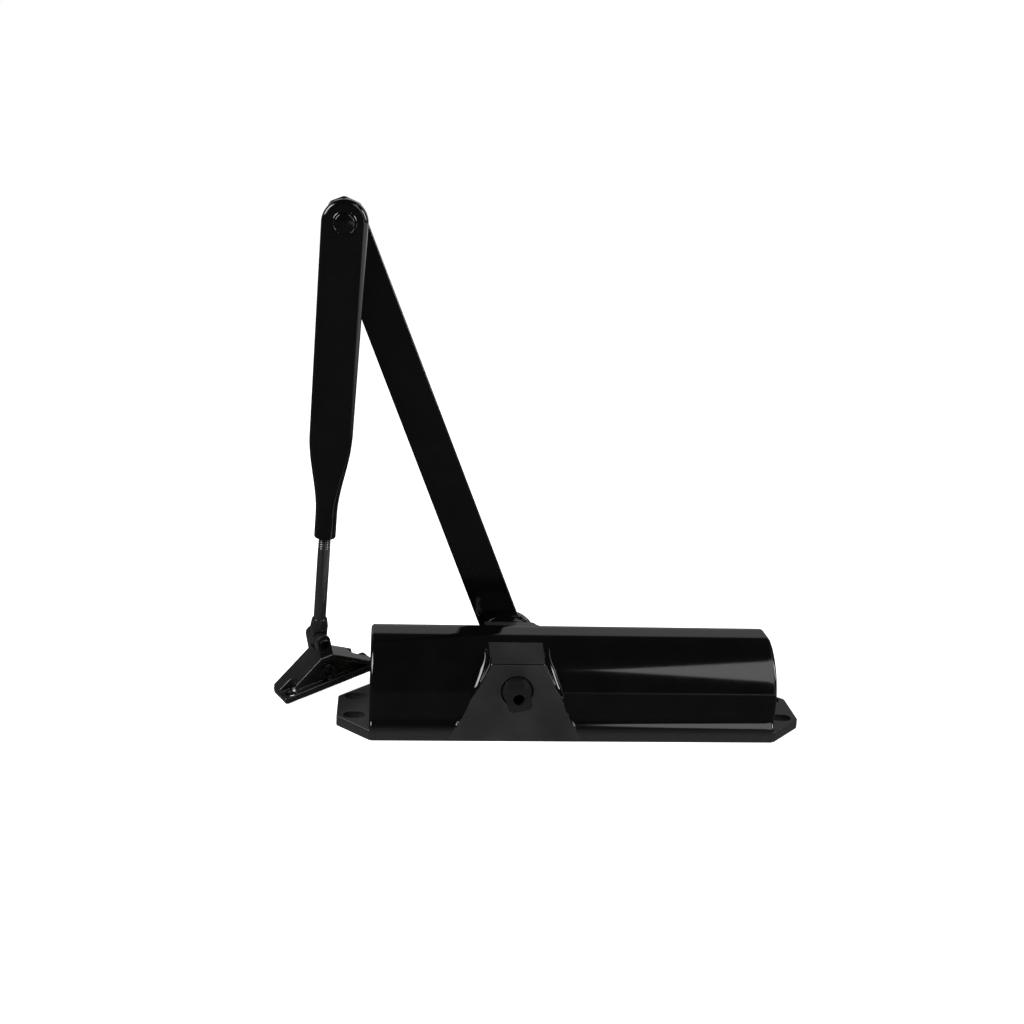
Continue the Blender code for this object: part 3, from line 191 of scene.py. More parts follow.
CAST_PAINT = gloss_paint("cast_gloss_black", 0.05, (0.06, 0.11), 420, 0.0014)
# A satin copy of the casting enamel with a lighter colour: painted light on the flat side faces, the
# sloping boss top and the feet tops.
FACE_PAINTED_LIGHT = gloss_paint("boss_satin_painted_light", 0.05, (0.32, 0.40), 420, 0.012, 0.5)
# Base band enamel whose colour is painted shade: lighter low down, nearly black higher up.
BAND_PAINTED_SHADE = fading_paint_with_painted_shade("band_satin_painted_shade", 3 * MM, 9 * MM)
ARM_PAINT = gloss_paint("arm_gloss_black", 0.06, (0.09, 0.15), 620, 0.0012)
SHOE_PAINT = gloss_paint("shoe_gloss_black", 0.22, (0.16, 0.26), 380, 0.006, 0.5)
ROD_PAINT = gloss_paint("rod_satin_black", 0.12, (0.20, 0.30), 700, 0.008, 0.5)
BLACKENED = metal("blackened_steel", (0.018, 0.018, 0.019), (0.035, 0.035, 0.036), 0.30)
SHAFT_METAL = gloss_paint("blackened_shaft", 0.10, (0.10, 0.16), 700, 0.006, 0.6)
GROUND = metal("ground_steel", (0.46, 0.47, 0.48), (0.60, 0.61, 0.62), 0.24, (1, 1, 8))
SPRING_METAL = metal("spring_steel", (0.10, 0.11, 0.13), (0.20, 0.21, 0.23), 0.34)
IRON = metal("ground_iron", (0.24, 0.24, 0.25), (0.34, 0.34, 0.35), 0.36, (8, 1, 1))
BRASS = metal("machined_brass", (0.55, 0.38, 0.14), (0.72, 0.52, 0.22), 0.24, (6, 1, 1))
SEAL = rubber("nitrile_rubber")


def paint_node(name, material):
    node = NODES[name]
    node.data.materials.clear()
    node.data.materials.append(material)


# ---- building tools ----

def finish_mesh(obj, material, angle):
    mesh = obj.data
    mesh.materials.clear()
    mesh.materials.append(material)
    mesh.shade_smooth()
    mesh.set_sharp_from_angle(angle=math.radians(angle))


def level_normals(obj):
    """Shades large flat faces flat, so that only the rounded edges between them bend the light."""
    modifier = obj.modifiers.new("normals", "WEIGHTED_NORMAL")
    modifier.keep_sharp = True
    apply_modifiers(obj)


def from_bmesh(name, bm, matrix=Matrix()):
    bmesh.ops.recalc_face_normals(bm, faces=bm.faces)
    mesh = bpy.data.meshes.new(name)
    bm.to_mesh(mesh)
    bm.free()
    mesh.transform(matrix)
    obj = bpy.data.objects.new(name, mesh)
    bpy.context.scene.collection.objects.link(obj)
    return obj


def apply_modifiers(obj):
    graph = bpy.context.evaluated_depsgraph_get()
    graph.update()
    mesh = bpy.data.meshes.new_from_object(obj.evaluated_get(graph))
    old = obj.data
    obj.modifiers.clear()
    obj.data = mesh
    bpy.data.meshes.remove(old)


def boolean(target, tool, operation="DIFFERENCE"):
    modifier = target.modifiers.new("cut", "BOOLEAN")
    modifier.operation = operation
    modifier.solver = "MANIFOLD"
    modifier.object = tool
    apply_modifiers(target)
    bpy.data.objects.remove(tool, do_unlink=True)


def plate(name, outlines, thickness, edge=0.0, matrix=Matrix()):
    """A flat solid from closed outlines (holes included), with rounded edges, centred on local Z = 0."""
    curve = bpy.data.curves.new(name + "_outline", "CURVE")
    curve.dimensions = "2D"
    curve.fill_mode = "BOTH"
    curve.extrude = thickness / 2 - edge
    curve.bevel_depth = edge
    curve.bevel_resolution = 3
    curve.offset = -edge
    for outline in outlines:
        spline = curve.splines.new("POLY")
        spline.points.add(len(outline) - 1)
        for point, (x, y) in zip(spline.points, outline):
            point.co = (x, y, 0, 1)
        spline.use_cyclic_u = True
    flat = bpy.data.objects.new(name + "_curve", curve)
    bpy.context.scene.collection.objects.link(flat)
    graph = bpy.context.evaluated_depsgraph_get()
    mesh = bpy.data.meshes.new_from_object(flat.evaluated_get(graph))
    bpy.data.objects.remove(flat, do_unlink=True)
    bm = bmesh.new()
    bm.from_mesh(mesh)
    bpy.data.meshes.remove(mesh)
    bmesh.ops.remove_doubles(bm, verts=bm.verts, dist=0.000004)
    return from_bmesh(name, bm, matrix)


def turned(name, profile, matrix, steps):
    """Turns (radius, height) points about local Z. The first and the last point lie on it."""
    bm = bmesh.new()
    rings = []
    for radius, height in profile:
        if radius == 0:
            rings.append([bm.verts.new((0, 0, height))])
            continue
        ring = []
        for i in range(steps):
            a = 2 * math.pi * i / steps
            ring.append(bm.verts.new((radius * math.cos(a), radius * math.sin(a), height)))
        rings.append(ring)
    for upper, lower in zip(rings, rings[1:]):
        for i in range(steps):
            j = (i + 1) % steps
            if len(upper) == 1:
                bm.faces.new((upper[0], lower[i], lower[j]))
            elif len(lower) == 1:
                bm.faces.new((upper[i], upper[j], lower[0]))
            else:
                bm.faces.new((upper[i], upper[j], lower[j], lower[i]))
    return from_bmesh(name, bm, matrix)


def arc(centre, radius, start, stop, steps):
    angles = [math.radians(start + (stop - start) * i / steps) for i in range(steps + 1)]
    return [(centre[0] + radius * math.cos(a), centre[1] + radius * math.sin(a)) for a in angles]


def rounded_rectangle(half_width, half_depth, corner, steps):
    corner = min(corner, half_width * 0.999, half_depth * 0.999)
    points = []
    for quarter, (side, end) in enumerate([(1, 1), (-1, 1), (-1, -1), (1, -1)]):
        centre = (side * (half_width - corner), end * (half_depth - corner))
        points += arc(centre, corner, 90 * quarter, 90 * quarter + 90, steps)
    return points


def rounded_polygon(corners, radius, steps=5):
    """Closed outline through corners, each replaced by an arc of the given radius."""
    points = []
    count = len(corners)
    for i, corner in enumerate(corners):
        here = Vector(corner)
        before = (Vector(corners[i - 1]) - here).normalized()
        after = (Vector(corners[(i + 1) % count]) - here).normalized()
        half = before.angle(after) / 2
        reach = radius / math.tan(half)
        centre = here + (before + after).normalized() * radius / math.sin(half)
        first = here + before * reach - centre
        last = here + after * reach - centre
        a0 = math.atan2(first.y, first.x)
        a1 = math.atan2(last.y, last.x)
        sweep = (a1 - a0 + math.pi) % (2 * math.pi) - math.pi
        for s in range(steps + 1):
            a = a0 + sweep * s / steps
            points.append((centre.x + radius * math.cos(a), centre.y + radius * math.sin(a)))
    return points


def refined(name, node, width, material):
    """A copy of a CAD node's mesh with its flat faces merged and its edges rounded."""
    source = NODES[node]
    bm = bmesh.new()
    bm.from_mesh(source.data)
    bmesh.ops.remove_doubles(bm, verts=bm.verts, dist=0.000002)
    bmesh.ops.dissolve_limit(bm, angle_limit=math.radians(1.5), verts=bm.verts, edges=bm.edges)
    obj = from_bmesh(name, bm)
    bevel = obj.modifiers.new("edges", "BEVEL")
    bevel.width = width
    bevel.segments = 3
    bevel.limit_method = "ANGLE"
    bevel.angle_limit = math.radians(28)
    bevel.use_clamp_overlap = True
    apply_modifiers(obj)
    finish_mesh(obj, material, 32)
    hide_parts(node)
    return obj


def cast_copy(name, node, voxel, rounds, material):
    """A copy of a CAD node with the soft edges of a casting: remeshed finely, then relaxed."""
    source = NODES[node]
    obj = bpy.data.objects.new(name, source.data.copy())
    bpy.context.scene.collection.objects.link(obj)
    remesh = obj.modifiers.new("remesh", "REMESH")
    remesh.mode = "VOXEL"
    remesh.voxel_size = voxel
    remesh.use_smooth_shade = True
    smooth = obj.modifiers.new("relax", "CORRECTIVE_SMOOTH")
    smooth.use_only_smooth = True
    smooth.factor = 0.5
    smooth.iterations = rounds
    smooth.smooth_type = "LENGTH_WEIGHTED"
    apply_modifiers(obj)
    finish_mesh(obj, material, 60)
    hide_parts(node)
    return obj


# ---- body casting ----

BOSS_HALF = 13.8 * MM
BOSS_SLOPE = 0.49
BOSS_SHOULDER = 43.1 * MM
BOSS_CROWN = (11.5 * MM, 47.9 * MM)  # y and z of the inner, upper end of the sloping top
BOSS_EDGE = 1.0 * MM
RIM = 2.0 * MM
CENTRE_Z = 20.0 * MM
LEAD = 0.6 * MM
CUT_PAST = 5 * MM
BORE_MOUTH = 18.6 * MM
BORE_RADIUS = 17.5 * MM
BORE_SHOULDER = 94.1 * MM
CAP_SEAT = 12.7 * MM
SHAFT_BORE = 11.3 * MM
SHAFT_HOLE = 8.0 * MM
CAP_DEPTH = 25.9 * MM
SHAFT_DEPTH = -28.3 * MM
VALVE_MOUTH = 3.9 * MM
VALVE_BORE = 3.5 * MM
VALVE_DEPTH = -22.2 * MM


def fillet_union(a, b, radius):
    """Union of two distance fields whose inner corner is filled with a round of that radius."""
    inner = np.hypot(np.maximum(radius - a, 0), np.maximum(radius - b, 0))
    return np.maximum(radius, np.minimum(a, b)) - inner


def round_corner(a, b, radius):
    """Intersection of two distance fields whose outer corner is rounded to that radius."""
    outer = np.hypot(np.maximum(radius + a, 0), np.maximum(radius + b, 0))
    return np.minimum(-radius, np.maximum(a, b)) + outer


def section_distance(y, z):
    """Distance field of the casting's plain section: arch, top flat and base band."""
    arch = np.hypot(y, z - ARCH_CENTRE) - ARCH_RADIUS
    upper = round_corner(arch, z - BODY_HEIGHT, 0.5 * MM)
    band = round_corner(y - BAND_HALF, z - BAND_TOP, 3.0 * MM)
    return fillet_union(upper, band, 3.0 * MM)


def facet_distance(y, z):
    """Distance above the sloping top of a boss."""
    slope = (BOSS_CROWN[1] - BOSS_SHOULDER) / (BAND_HALF - BOSS_CROWN[0])
    return (slope * (y - BAND_HALF) + z - BOSS_SHOULDER) / math.hypot(1, slope)


def casting_distance(x, y, z):
    """Distance field of the whole skin, for y of either sign."""
    y = np.abs(y)
    body = section_distance(y, z)
    drop = BOSS_SHOULDER - z
    spread = BOSS_SLOPE * (drop + np.hypot(drop, 1.5 * MM)) / 2
    draft = 0.10 * (BAND_HALF - y)
    wall = (np.abs(x - PINION_X) - BOSS_HALF - spread - draft) / math.hypot(1, 0.45)
    face = y - BAND_HALF
    cap = np.maximum(round_corner(face, facet_distance(y, z), 0.8 * MM), BOSS_CROWN[0] - y)
    tall = np.clip((z - 13 * MM) / (16 * MM), 0, 1)
    boss = round_corner(fillet_union(body, wall, (0.4 + 2.2 * tall) * MM), cap, BOSS_EDGE)
    skin = np.minimum(body, boss)
    return round_corner(skin, np.abs(x) - HALF_LENGTH, RIM)


def skin_knots():
    """Positions along X of the skin's rows: fine round the boss and on the rounded rims."""
    half = 41 * MM
    fine = np.arange(PINION_X - half, PINION_X + half, 0.36 * MM)
    start = HALF_LENGTH - RIM
    rim = start + RIM * np.sin(np.radians(np.linspace(0, 90, 9)))
    left = np.linspace(-start, PINION_X - half, 12)[1:-1]
    right = np.linspace(PINION_X + half, start, 30)[1:-1]
    return np.concatenate([-rim[::-1], left, fine, right, rim])


def skin_angles():
    """Directions of the skin's columns about the casting's axis, finer at the base band."""
    corner = math.degrees(math.atan2(CENTRE_Z, BAND_HALF))
    side = np.concatenate([
        np.linspace(-corner, -22.6, 14)[:-1],
        np.linspace(-22.6, -17.6, 34)[:-1],
        np.linspace(-17.6, 90, 118)])
    return np.radians(np.concatenate([side[:-1], 180 - side[::-1]]))


def casting_skin():
    knots = skin_knots()
    angles = skin_angles()
    x = knots[:, None] * np.ones((1, len(angles)))
    along_y = np.cos(angles)[None, :] * np.ones_like(x)
    along_z = np.sin(angles)[None, :] * np.ones_like(x)

    def value(reach):
        return casting_distance(x, reach * along_y, CENTRE_Z + reach * along_z)

    step = 0.5 * MM
    outside = np.full_like(x, 54 * MM)
    found = np.zeros(x.shape, bool)
    reach = outside.copy()
    for _ in range(90):
        now = value(reach) < 0
        found |= now
        reach = np.where(found, reach, reach - step)
    low, high = reach, reach + step
    for _ in range(14):
        middle = (low + high) / 2
        inside = value(middle) < 0
        low = np.where(inside, middle, low)
        high = np.where(inside, high, middle)
    y = low * along_y
    z = CENTRE_Z + low * along_z
    z[:, 0] = 0
    z[:, -1] = 0
    rows, columns = x.shape
    points = np.stack([x, y, z], -1).reshape(-1, 3)
    faces = []
    for i in range(rows - 1):
        a = i * columns
        b = a + columns
        faces += [(a + j, a + j + 1, b + j + 1, b + j) for j in range(columns - 1)]
        faces.append((a + columns - 1, a, b, b + columns - 1))
    faces.append(tuple(range(columns)))
    faces.append(tuple(range((rows - 1) * columns, rows * columns))[::-1])
    mesh = bpy.data.meshes.new("casting")
    mesh.from_pydata(points.tolist(), [], faces)
    mesh.update()
    obj = bpy.data.objects.new("casting", mesh)
    bpy.context.scene.collection.objects.link(obj)
    bm = bmesh.new()
    bm.from_mesh(mesh)
    bmesh.ops.recalc_face_normals(bm, faces=bm.faces)
    bm.to_mesh(mesh)
    bm.free()
    return obj


def slot_outline(x, y):
    radius = 4.0 * MM
    reach = 1.8 * MM
    right = [(x + reach + a, y + b) for a, b in arc((0, 0), radius, -90, 90, 16)]
    left = [(x - reach + a, y + b) for a, b in arc((0, 0), radius, 90, 270, 16)]
    return right + left


def foot_plate(end):
    inner = HALF_LENGTH - 12 * MM
    wide = BAND_HALF - 0.05 * MM
    tip = HALF_LENGTH + FOOT_LENGTH
    corners = [(inner, -wide), (HALF_LENGTH, -wide), (tip, -FOOT_END_HALF), (tip, FOOT_END_HALF)]
    corners += [(HALF_LENGTH, wide), (inner, wide)]
    corners = [(end * x, y) for x, y in corners]
    outline = rounded_polygon(corners, 1.6 * MM)
    return plate("foot", [outline], FOOT_THICKNESS, 0.7 * MM, shift(z=FOOT_THICKNESS / 2 + 0.02 * MM))


def casting_paint(polygon):
    """Paint of one face: 0 gloss, 1 satin on flat faces and feet with a lighter colour as painted light,
    2 the base band with painted shade by height.
    """
    side, height = abs(polygon.center.y), polygon.center.z
    along = abs(polygon.center.x - PINION_X)
    flat = side > BAND_HALF - 0.3 * MM and abs(polygon.normal.y) > 0.9
    facet = side < BAND_HALF and along < BOSS_HALF + 0.4 * MM
    facet = facet and facet_distance(side, height) > -0.2 * MM
    facet = facet and height < BOSS_CROWN[1] and polygon.normal.z > 0.9
    foot = abs(polygon.center.x) > HALF_LENGTH + 0.3 * MM and polygon.normal.z > 0.5
    spread = BOSS_HALF + BOSS_SLOPE * (BOSS_SHOULDER - height)
    if height < 13 * MM and along > spread + 0.2 * MM and not foot:
        return 2
    return 1 if flat or facet or foot else 0


def make_casting():
    body = casting_skin()
    for end in (-1, 1):
        boolean(body, foot_plate(end), "UNION")
        for side in (-1, 1):
            outline = slot_outline(end * SLOT_X, side * SLOT_Y)
            boolean(body, plate("slot", [outline], 24 * MM))
    far = HALF_LENGTH + CUT_PAST
    wide = BORE_MOUTH + LEAD
    profile = [(0, far), (wide, far), (wide, HALF_LENGTH), (BORE_MOUTH, HALF_LENGTH - LEAD)]
    profile += [(BORE_MOUTH, BORE_SHOULDER), (BORE_RADIUS, BORE_SHOULDER)]
    profile += [(radius, -height) for radius, height in reversed(profile)]
    boolean(body, turned("bore", profile, shift(z=BORE_Z) @ ALONG_X, 96))
    far = BAND_HALF + CUT_PAST
    profile = [(0, far), (CAP_SEAT + CUT_PAST + LEAD, far), (CAP_SEAT, BAND_HALF - LEAD)]
    profile += [(CAP_SEAT, CAP_DEPTH), (SHAFT_BORE, CAP_DEPTH), (SHAFT_BORE, SHAFT_DEPTH)]
    profile += [(SHAFT_HOLE, SHAFT_DEPTH), (SHAFT_HOLE, -BAND_HALF + 0.5 * MM)]
    profile += [(13.5 * MM, -far), (0, -far)]
    boolean(body, turned("cross_bore", profile, PINION @ ALONG_Y, 96))
    for end, side in ((-1, -1), (-1, 1), (1, -1)):
        place = shift(end * HALF_LENGTH, side * VALVE_SIDE, VALVE_HEIGHT)
        matrix = place @ Matrix.Rotation(end * math.pi / 2, 4, "Y")
        profile = [(0, CUT_PAST), (VALVE_MOUTH, CUT_PAST), (VALVE_MOUTH, 0)]
        profile += [(VALVE_BORE, -0.4 * MM), (VALVE_BORE, VALVE_DEPTH), (0, VALVE_DEPTH)]
        boolean(body, turned("valve_hole", profile, matrix, 40))
    finish_mesh(body, CAST_PAINT, 38)
    level_normals(body)
    # Slot 1: the lighter satin copy, painted light on flat side faces, the boss top and the feet tops.
    body.data.materials.append(FACE_PAINTED_LIGHT)
    # Slot 2: the base band, with its colour painted shade by height.
    body.data.materials.append(BAND_PAINTED_SHADE)
    for polygon in body.data.polygons:
        polygon.material_index = casting_paint(polygon)
    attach(body, "housing")
    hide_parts("body_casting")


# ---- main arm ----

def make_main_arm():
    tip_half = 10.6 * MM
    hub_half = 11.2 * MM
    top = ARM_LENGTH + 12.3 * MM
    chamfer = 6.6 * MM
    hub = 17.0 * MM
    side = math.degrees(math.acos(hub_half / hub))
    corners = [(tip_half, top - chamfer), (tip_half - chamfer, top)]
    corners += [(chamfer - tip_half, top), (-tip_half, top - chamfer)]
    outline = []
    befores = [(hub_half, 0)] + corners[:-1]
    afters = corners[1:] + [(-hub_half, 0)]
    for point, before, after in zip(corners, befores, afters):
        here = Vector(point)
        first = here + (Vector(before) - here).normalized() * 1.0 * MM
        last = here + (Vector(after) - here).normalized() * 1.0 * MM
        for s in (0, 0.5, 1):
            bent = first.lerp(here, s).lerp(here.lerp(last, s), s)
            outline.append((bent.x, bent.y))
    outline += arc((0, 0), hub, 180 - side, 360 + side, 40)
    hole = arc((0, ARM_LENGTH), 4.3 * MM, 0, 350, 35)
    middle = ARM_FRONT + ARM_THICKNESS / 2
    arm = plate("arm_bar", [outline, hole], ARM_THICKNESS, 0.55 * MM, ARM @ shift(y=middle) @ FACING_Y)
    profile = [(0, 41.9 * MM), (16.6 * MM, 41.9 * MM), (16.6 * MM, 39.4 * MM), (16.0 * MM, 38.7 * MM)]
    profile += [(15.6 * MM, 37.4 * MM), (15.5 * MM, 32.0 * MM), (15.2 * MM, 31.3 * MM)]
    profile += [(14.6 * MM, 31.1 * MM), (0, 31.1 * MM)]
    boolean(arm, turned("hub", profile, ARM @ ALONG_Y, 80), "UNION")
    half = 6.65 * MM
    twist = Matrix.Rotation(math.radians(12), 4, "Z")
    square = rounded_polygon([(half, half), (-half, half), (-half, -half), (half, -half)], 0.3 * MM, 3)
    boolean(arm, plate("square", [square], 60 * MM, 0, PINION @ shift(y=ARM_FRONT) @ FACING_Y @ twist))
    finish_mesh(arm, ARM_PAINT, 32)
    level_normals(arm)
    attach(arm, "pinion_and_arm")
    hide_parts("main_arm")


# ---- forearm ----

def forearm_station(distance):
    """Half width, half depth and corner radius at a distance below the elbow."""
    depth = 6.7 * MM
    start, end = 112 * MM, 156 * MM
    width = 12.1 * MM + (11.4 * MM - 12.1 * MM) * min(distance / start, 1)
    share = min(max((distance - start) / (end - start), 0), 1)
    ease = share * share * (3 - 2 * share)
    tube = 5.85 * MM
    corner = 2.6 * MM + (tube - 2.6 * MM) * share
    return width + (tube - width) * ease, depth + (tube - depth) * ease, corner


def make_forearm():
    bm = bmesh.new()
    steps = 10
    length = 169.5 * MM
    distances = list(np.linspace(0, 108 * MM, 8)) + list(np.linspace(112 * MM, 158 * MM, 24))
    distances += [163 * MM, length - 0.8 * MM, length - 0.3 * MM, length]
    rings = []
    for distance in distances:
        half_width, half_depth, corner = forearm_station(distance)
        if distance > length - 0.7 * MM:
            trim = 0.25 * MM if distance < length else 0.7 * MM
            half_width -= trim
            half_depth -= trim
            corner -= trim
        outline = rounded_rectangle(half_width, half_depth, corner, steps)
        rings.append([bm.verts.new((x, y, -distance)) for x, y in outline])
    for upper, lower in zip(rings, rings[1:]):
        count = len(upper)
        for i in range(count):
            j = (i + 1) % count
            bm.faces.new((upper[i], upper[j], lower[j], lower[i]))
    bm.faces.new(rings[-1])
    half_width, half_depth, corner = forearm_station(0)
    quarter = steps + 1
    right = rounded_rectangle(half_width, half_depth, corner, steps)
    half = [(0, half_depth)] + right[:quarter][::-1] + right[3 * quarter:][::-1] + [(0, -half_depth)]
    fans = 32
    sweep = []
    for k in range(fans + 1):
        a = math.pi * k / fans
        sweep.append([bm.verts.new((x * math.cos(a), y, x * math.sin(a))) for x, y in half])
    for first, second in zip(sweep, sweep[1:]):
        for i in range(len(half) - 1):
            bm.faces.new((first[i], first[i + 1], second[i + 1], second[i]))
    bmesh.ops.remove_doubles(bm, verts=bm.verts, dist=0.000003)
    bmesh.ops.dissolve_degenerate(bm, edges=bm.edges, dist=0.000001)
    arm = from_bmesh("forearm_link", bm, ROD)
    profile = [(0, 45 * MM), (4.3 * MM, 45 * MM), (4.3 * MM, 25.7 * MM), (6.7 * MM, 25.7 * MM)]
    profile += [(6.7 * MM, 24.4 * MM), (7.0 * MM, 24.1 * MM), (7.0 * MM, 15 * MM), (0, 15 * MM)]
    boolean(arm, turned("pivot", profile, ELBOW @ ALONG_Y, 64))
    socket, high, low = 3.7 * MM, -length + 62 * MM, -length - 5 * MM
    profile = [(0, high), (socket, high), (socket, low), (0, low)]
    boolean(arm, turned("socket", profile, ROD, 48))
    finish_mesh(arm, ARM_PAINT, 34)
    level_normals(arm)
    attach(arm, "forearm")
    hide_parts("forearm")


# ---- small pieces ----

def make_rivet():
    far = 45.2 * MM
    near = 23.7 * MM
    profile = [(0, far + 1.7 * MM), (3.6 * MM, far + 1.65 * MM), (5.4 * MM, far + 1.3 * MM)]
    profile += [(6.2 * MM, far + 0.7 * MM), (6.4 * MM, far), (4.0 * MM, far)]
    profile += [(4.0 * MM, near + 1.7 * MM), (6.4 * MM, near + 1.7 * MM)]
    profile += [(6.4 * MM, near + 0.35 * MM), (6.1 * MM, near + 0.08 * MM), (5.6 * MM, near + 0.08 * MM)]
    profile += [(5.2 * MM, near + 0.45 * MM), (4.9 * MM, near + 0.12 * MM), (4.4 * MM, near), (0, near)]
    rivet = turned("elbow_rivet_shaped", profile, ELBOW @ ALONG_Y, 64)
    finish_mesh(rivet, ARM_PAINT, 40)
    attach(rivet, "pinion_and_arm")
    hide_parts("elbow_rivet")


def make_rod():
    top = -124.5 * MM
    bottom = -221.5 * MM
    core, crest, pitch = 3.05 * MM, 3.4 * MM, 1.25 * MM
    thread_end = -176.0 * MM
    profile = [(0, top), (2.6 * MM, top), (core, top - 0.6 * MM)]
    z = top - 0.6 * MM
    while z - pitch > thread_end:
        profile += [(crest, z - 0.45 * MM), (crest, z - 0.65 * MM), (core, z - pitch)]
        z -= pitch
    profile += [(crest, z - 0.6 * MM), (crest, bottom), (0, bottom)]
    piece = turned("adjusting_rod_threaded", profile, ROD, 48)
    finish_mesh(piece, ROD_PAINT, 50)
    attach(piece, "adjusting_rod")
    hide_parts("adjusting_rod")


def make_refined_pieces():
    pieces = (
        ("pinion_shaft_bevelled", "pinion_shaft", 0.35, SHAFT_METAL, "pinion_and_arm", "blackened"),
        ("arm_screw_bevelled", "arm_screw", 0.4, BLACKENED, "pinion_and_arm", "blackened"),
        ("arm_washer_bevelled", "arm_washer", 0.2, BLACKENED, "pinion_and_arm", "blackened"),
        ("elbow_washer_bevelled", "elbow_washer", 0.15, BLACKENED, "pinion_and_arm", "blackened"),
        ("end_plug_left_bevelled", "end_plug_left", 0.3, BLACKENED, "housing", "blackened"),
        ("end_plug_right_bevelled", "end_plug_right", 0.3, BLACKENED, "housing", "blackened"),
        ("bearing_cap_bevelled", "bearing_cap_far", 0.3, BLACKENED, "housing", "blackened"),
        ("shoe_pin_bevelled", "shoe_pin", 0.2, BLACKENED, "shoe", "blackened"),
    )
    for name, node, width, material, body, slot in pieces:
        piece = refined(name, node, width * MM, material)
        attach(piece, body)
    castings = (("shoe_cast", "shoe_bracket", "shoe"), ("rod_end_cast", "rod_end", "rod_end"))
    for name, node, body in castings:
        piece = cast_copy(name, node, 0.30 * MM, 5, SHOE_PAINT)
        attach(piece, body)


def dress_nodes():
    for name in ("end_plug_seal_left", "end_plug_seal_right", "shaft_seal_near", "shaft_seal_far",
                 "piston_seal", "sweep_valve_seal", "latch_valve_seal", "backcheck_valve_seal"):
        paint_node(name, SEAL)
    for name in ("bearing_near", "bearing_far", "check_ball", "spring_seat", "power_adjust_screw"):
        paint_node(name, GROUND)
    for name in ("sweep_valve", "latch_valve", "backcheck_valve", "check_ball_keeper"):
        paint_node(name, BRASS)
    paint_node("piston", IRON)
    paint_node("closing_spring", SPRING_METAL)


# ---- floor, light and camera ----

FLOOR_GLOW = 0.08
SIDE_GLOW = 1.6
BACK_GLOW = 0.34
WEDGE_GLOW = 3.2
WORLD_GLOW = 0.03
SKY_RADIUS = 2.0
CAMERA_PLACE = Vector((-0.1001, -0.6813, 0.3128))
CAMERA_TURN = (0.087, 0.244, 0.044)
CAMERA_LENS = 47.858203
CAMERA_SHIFT = (0.00830078, -0.04892578)


def area_light(name, place, target, size, power):
    light = bpy.data.lights.new(name, "AREA")
    light.shape = "RECTANGLE"
    light.size, light.size_y = size
    light.energy = power
    obj = bpy.data.objects.new(name, light)
    obj.location = place
    obj.rotation_euler = (Vector(target) - Vector(place)).to_track_quat("-Z", "Y").to_euler()
    bpy.context.scene.collection.objects.link(obj)


def emission(tree, strength):
    node = tree.nodes.new("ShaderNodeEmission")
    node.inputs["Strength"].default_value = strength
    return node


def card(name, points, faces, strength):
    """A glowing studio card, seen only in reflections."""
    material, tree, shader = new_material(name, (0, 0, 0), 1.0, specular=0.0)
    tree.nodes.remove(shader)
    output = tree.nodes["Material Output"]
    tree.links.new(emission(tree, strength).outputs["Emission"], output.inputs["Surface"])
    mesh = bpy.data.meshes.new(name)
    mesh.from_pydata(points, [], faces)
    mesh.materials.append(material)
    obj = bpy.data.objects.new(name, mesh)
    bpy.context.scene.collection.objects.link(obj)
    obj.visible_camera = False
    obj.visible_diffuse = False
    obj.visible_shadow = False


def sky_point(across, elevation):
    """Point on a large sphere in front of the closer, from its share along X and its elevation."""
    reach = math.sqrt(1 - across**2) * SKY_RADIUS
    e = math.radians(elevation)
    return (across * SKY_RADIUS + 0.05, -reach * math.cos(e), reach * math.sin(e) + 0.03)


def floor_material():
    """White to the camera. In reflections it glows dimly, and more towards the right."""
    material, tree, shader = new_material("pale_floor", (0.6, 0.6, 0.6), 0.9, specular=0.0)
    tint(tree, noise_node(tree, 3), shader.inputs["Base Color"], (0.60, 0.60, 0.60), (0.62, 0.62, 0.62))
    path = tree.nodes.new("ShaderNodeLightPath")
    lit = tree.nodes.new("ShaderNodeAddShader")
    tree.links.new(shader.outputs["BSDF"], lit.inputs[0])
    tree.links.new(emission(tree, 1.0).outputs["Emission"], lit.inputs[1])
    glow = emission(tree, FLOOR_GLOW)
    place = tree.nodes.new("ShaderNodeTexCoord")
    split = tree.nodes.new("ShaderNodeSeparateXYZ")
    ramp = tree.nodes.new("ShaderNodeMapRange")
    ramp.inputs["From Min"].default_value = 0.30
    ramp.inputs["From Max"].default_value = 0.75
    ramp.inputs["To Min"].default_value = FLOOR_GLOW
    ramp.inputs["To Max"].default_value = SIDE_GLOW
    tree.links.new(place.outputs["Object"], split.inputs["Vector"])
    tree.links.new(split.outputs["X"], ramp.inputs["Value"])
    tree.links.new(ramp.outputs["Result"], glow.inputs["Strength"])
    mix = tree.nodes.new("ShaderNodeMixShader")
    tree.links.new(path.outputs["Is Glossy Ray"], mix.inputs["Fac"])
    tree.links.new(lit.outputs["Shader"], mix.inputs[1])
    tree.links.new(glow.outputs["Emission"], mix.inputs[2])
    tree.links.new(mix.outputs["Shader"], tree.nodes["Material Output"].inputs["Surface"])
    return material


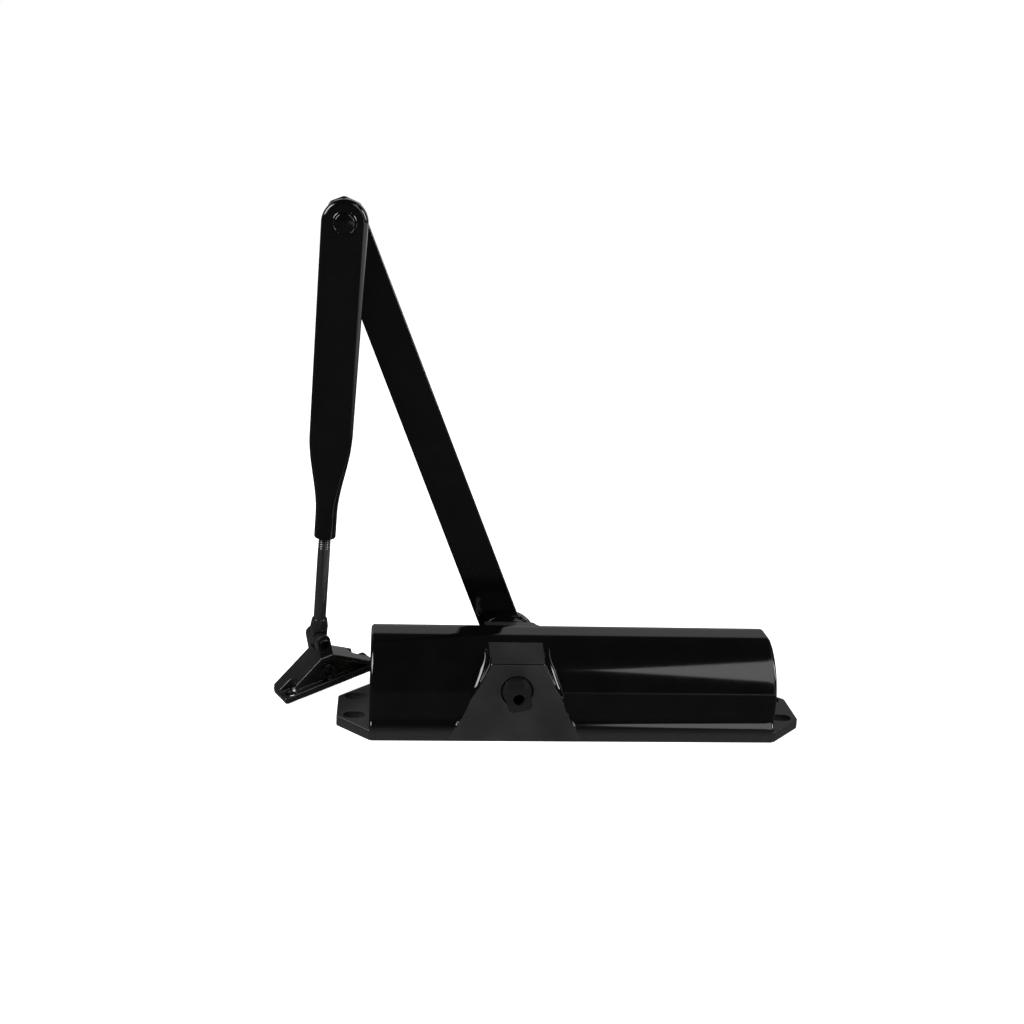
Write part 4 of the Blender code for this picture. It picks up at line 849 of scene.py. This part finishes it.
def make_floor():
    bm = bmesh.new()
    bmesh.ops.create_grid(bm, x_segments=1, y_segments=1, size=12)
    floor = from_bmesh("floor", bm, shift(z=-0.0003))
    floor.data.materials.append(floor_material())


def make_world():
    """White behind the object, and nearly dark in its reflections."""
    world = bpy.data.worlds.new("studio")
    bpy.context.scene.world = world
    world.use_nodes = True
    tree = world.node_tree
    background = tree.nodes["Background"]
    background.inputs["Color"].default_value = (1, 1, 1, 1)
    path = tree.nodes.new("ShaderNodeLightPath")
    vary(tree, path.outputs["Is Camera Ray"], background.inputs["Strength"], WORLD_GLOW, 1.0)


def make_lights():
    back = [(-3, 2.5, 0), (3, 2.5, 0), (3, 2.5, 1.5), (-3, 2.5, 1.5)]
    card("back_card", back, [(0, 1, 2, 3)], BACK_GLOW)
    wedge = [sky_point(0.13, 46)]
    wedge += [sky_point(0.46, e) for e in np.linspace(-8, 122, 14)]
    card("wedge_card", wedge, [(0, i, i + 1) for i in range(1, 14)], WEDGE_GLOW)
    area_light("key", (-1.3, -0.5, 1.1), (0, 0, 0.1), (0.9, 0.9), 40)
    area_light("side", (1.5, -0.5, 0.9), (0.05, 0, 0.03), (0.5, 0.9), 26)


def make_camera():
    yaw, pitch, roll = CAMERA_TURN
    forward = Vector((math.sin(yaw) * math.cos(pitch), math.cos(yaw) * math.cos(pitch), -math.sin(pitch)))
    right = Vector((math.cos(yaw), -math.sin(yaw), 0))
    up = right.cross(forward)
    r = math.cos(roll) * right + math.sin(roll) * up
    u = -math.sin(roll) * right + math.cos(roll) * up
    data = bpy.data.cameras.new("camera")
    data.sensor_width = 36
    data.lens = CAMERA_LENS
    data.shift_x, data.shift_y = CAMERA_SHIFT
    data.clip_start = 0.01
    camera = bpy.data.objects.new("camera", data)
    matrix = Matrix((r, u, -forward)).transposed().to_4x4()
    matrix.translation = CAMERA_PLACE
    camera.matrix_world = matrix
    bpy.context.scene.collection.objects.link(camera)
    bpy.context.scene.camera = camera
    bpy.context.scene.view_settings.view_transform = "Standard"


make_camera()
make_floor()
make_world()
make_lights()
make_casting()
make_main_arm()
make_forearm()
make_rivet()
make_rod()
make_refined_pieces()
dress_nodes()
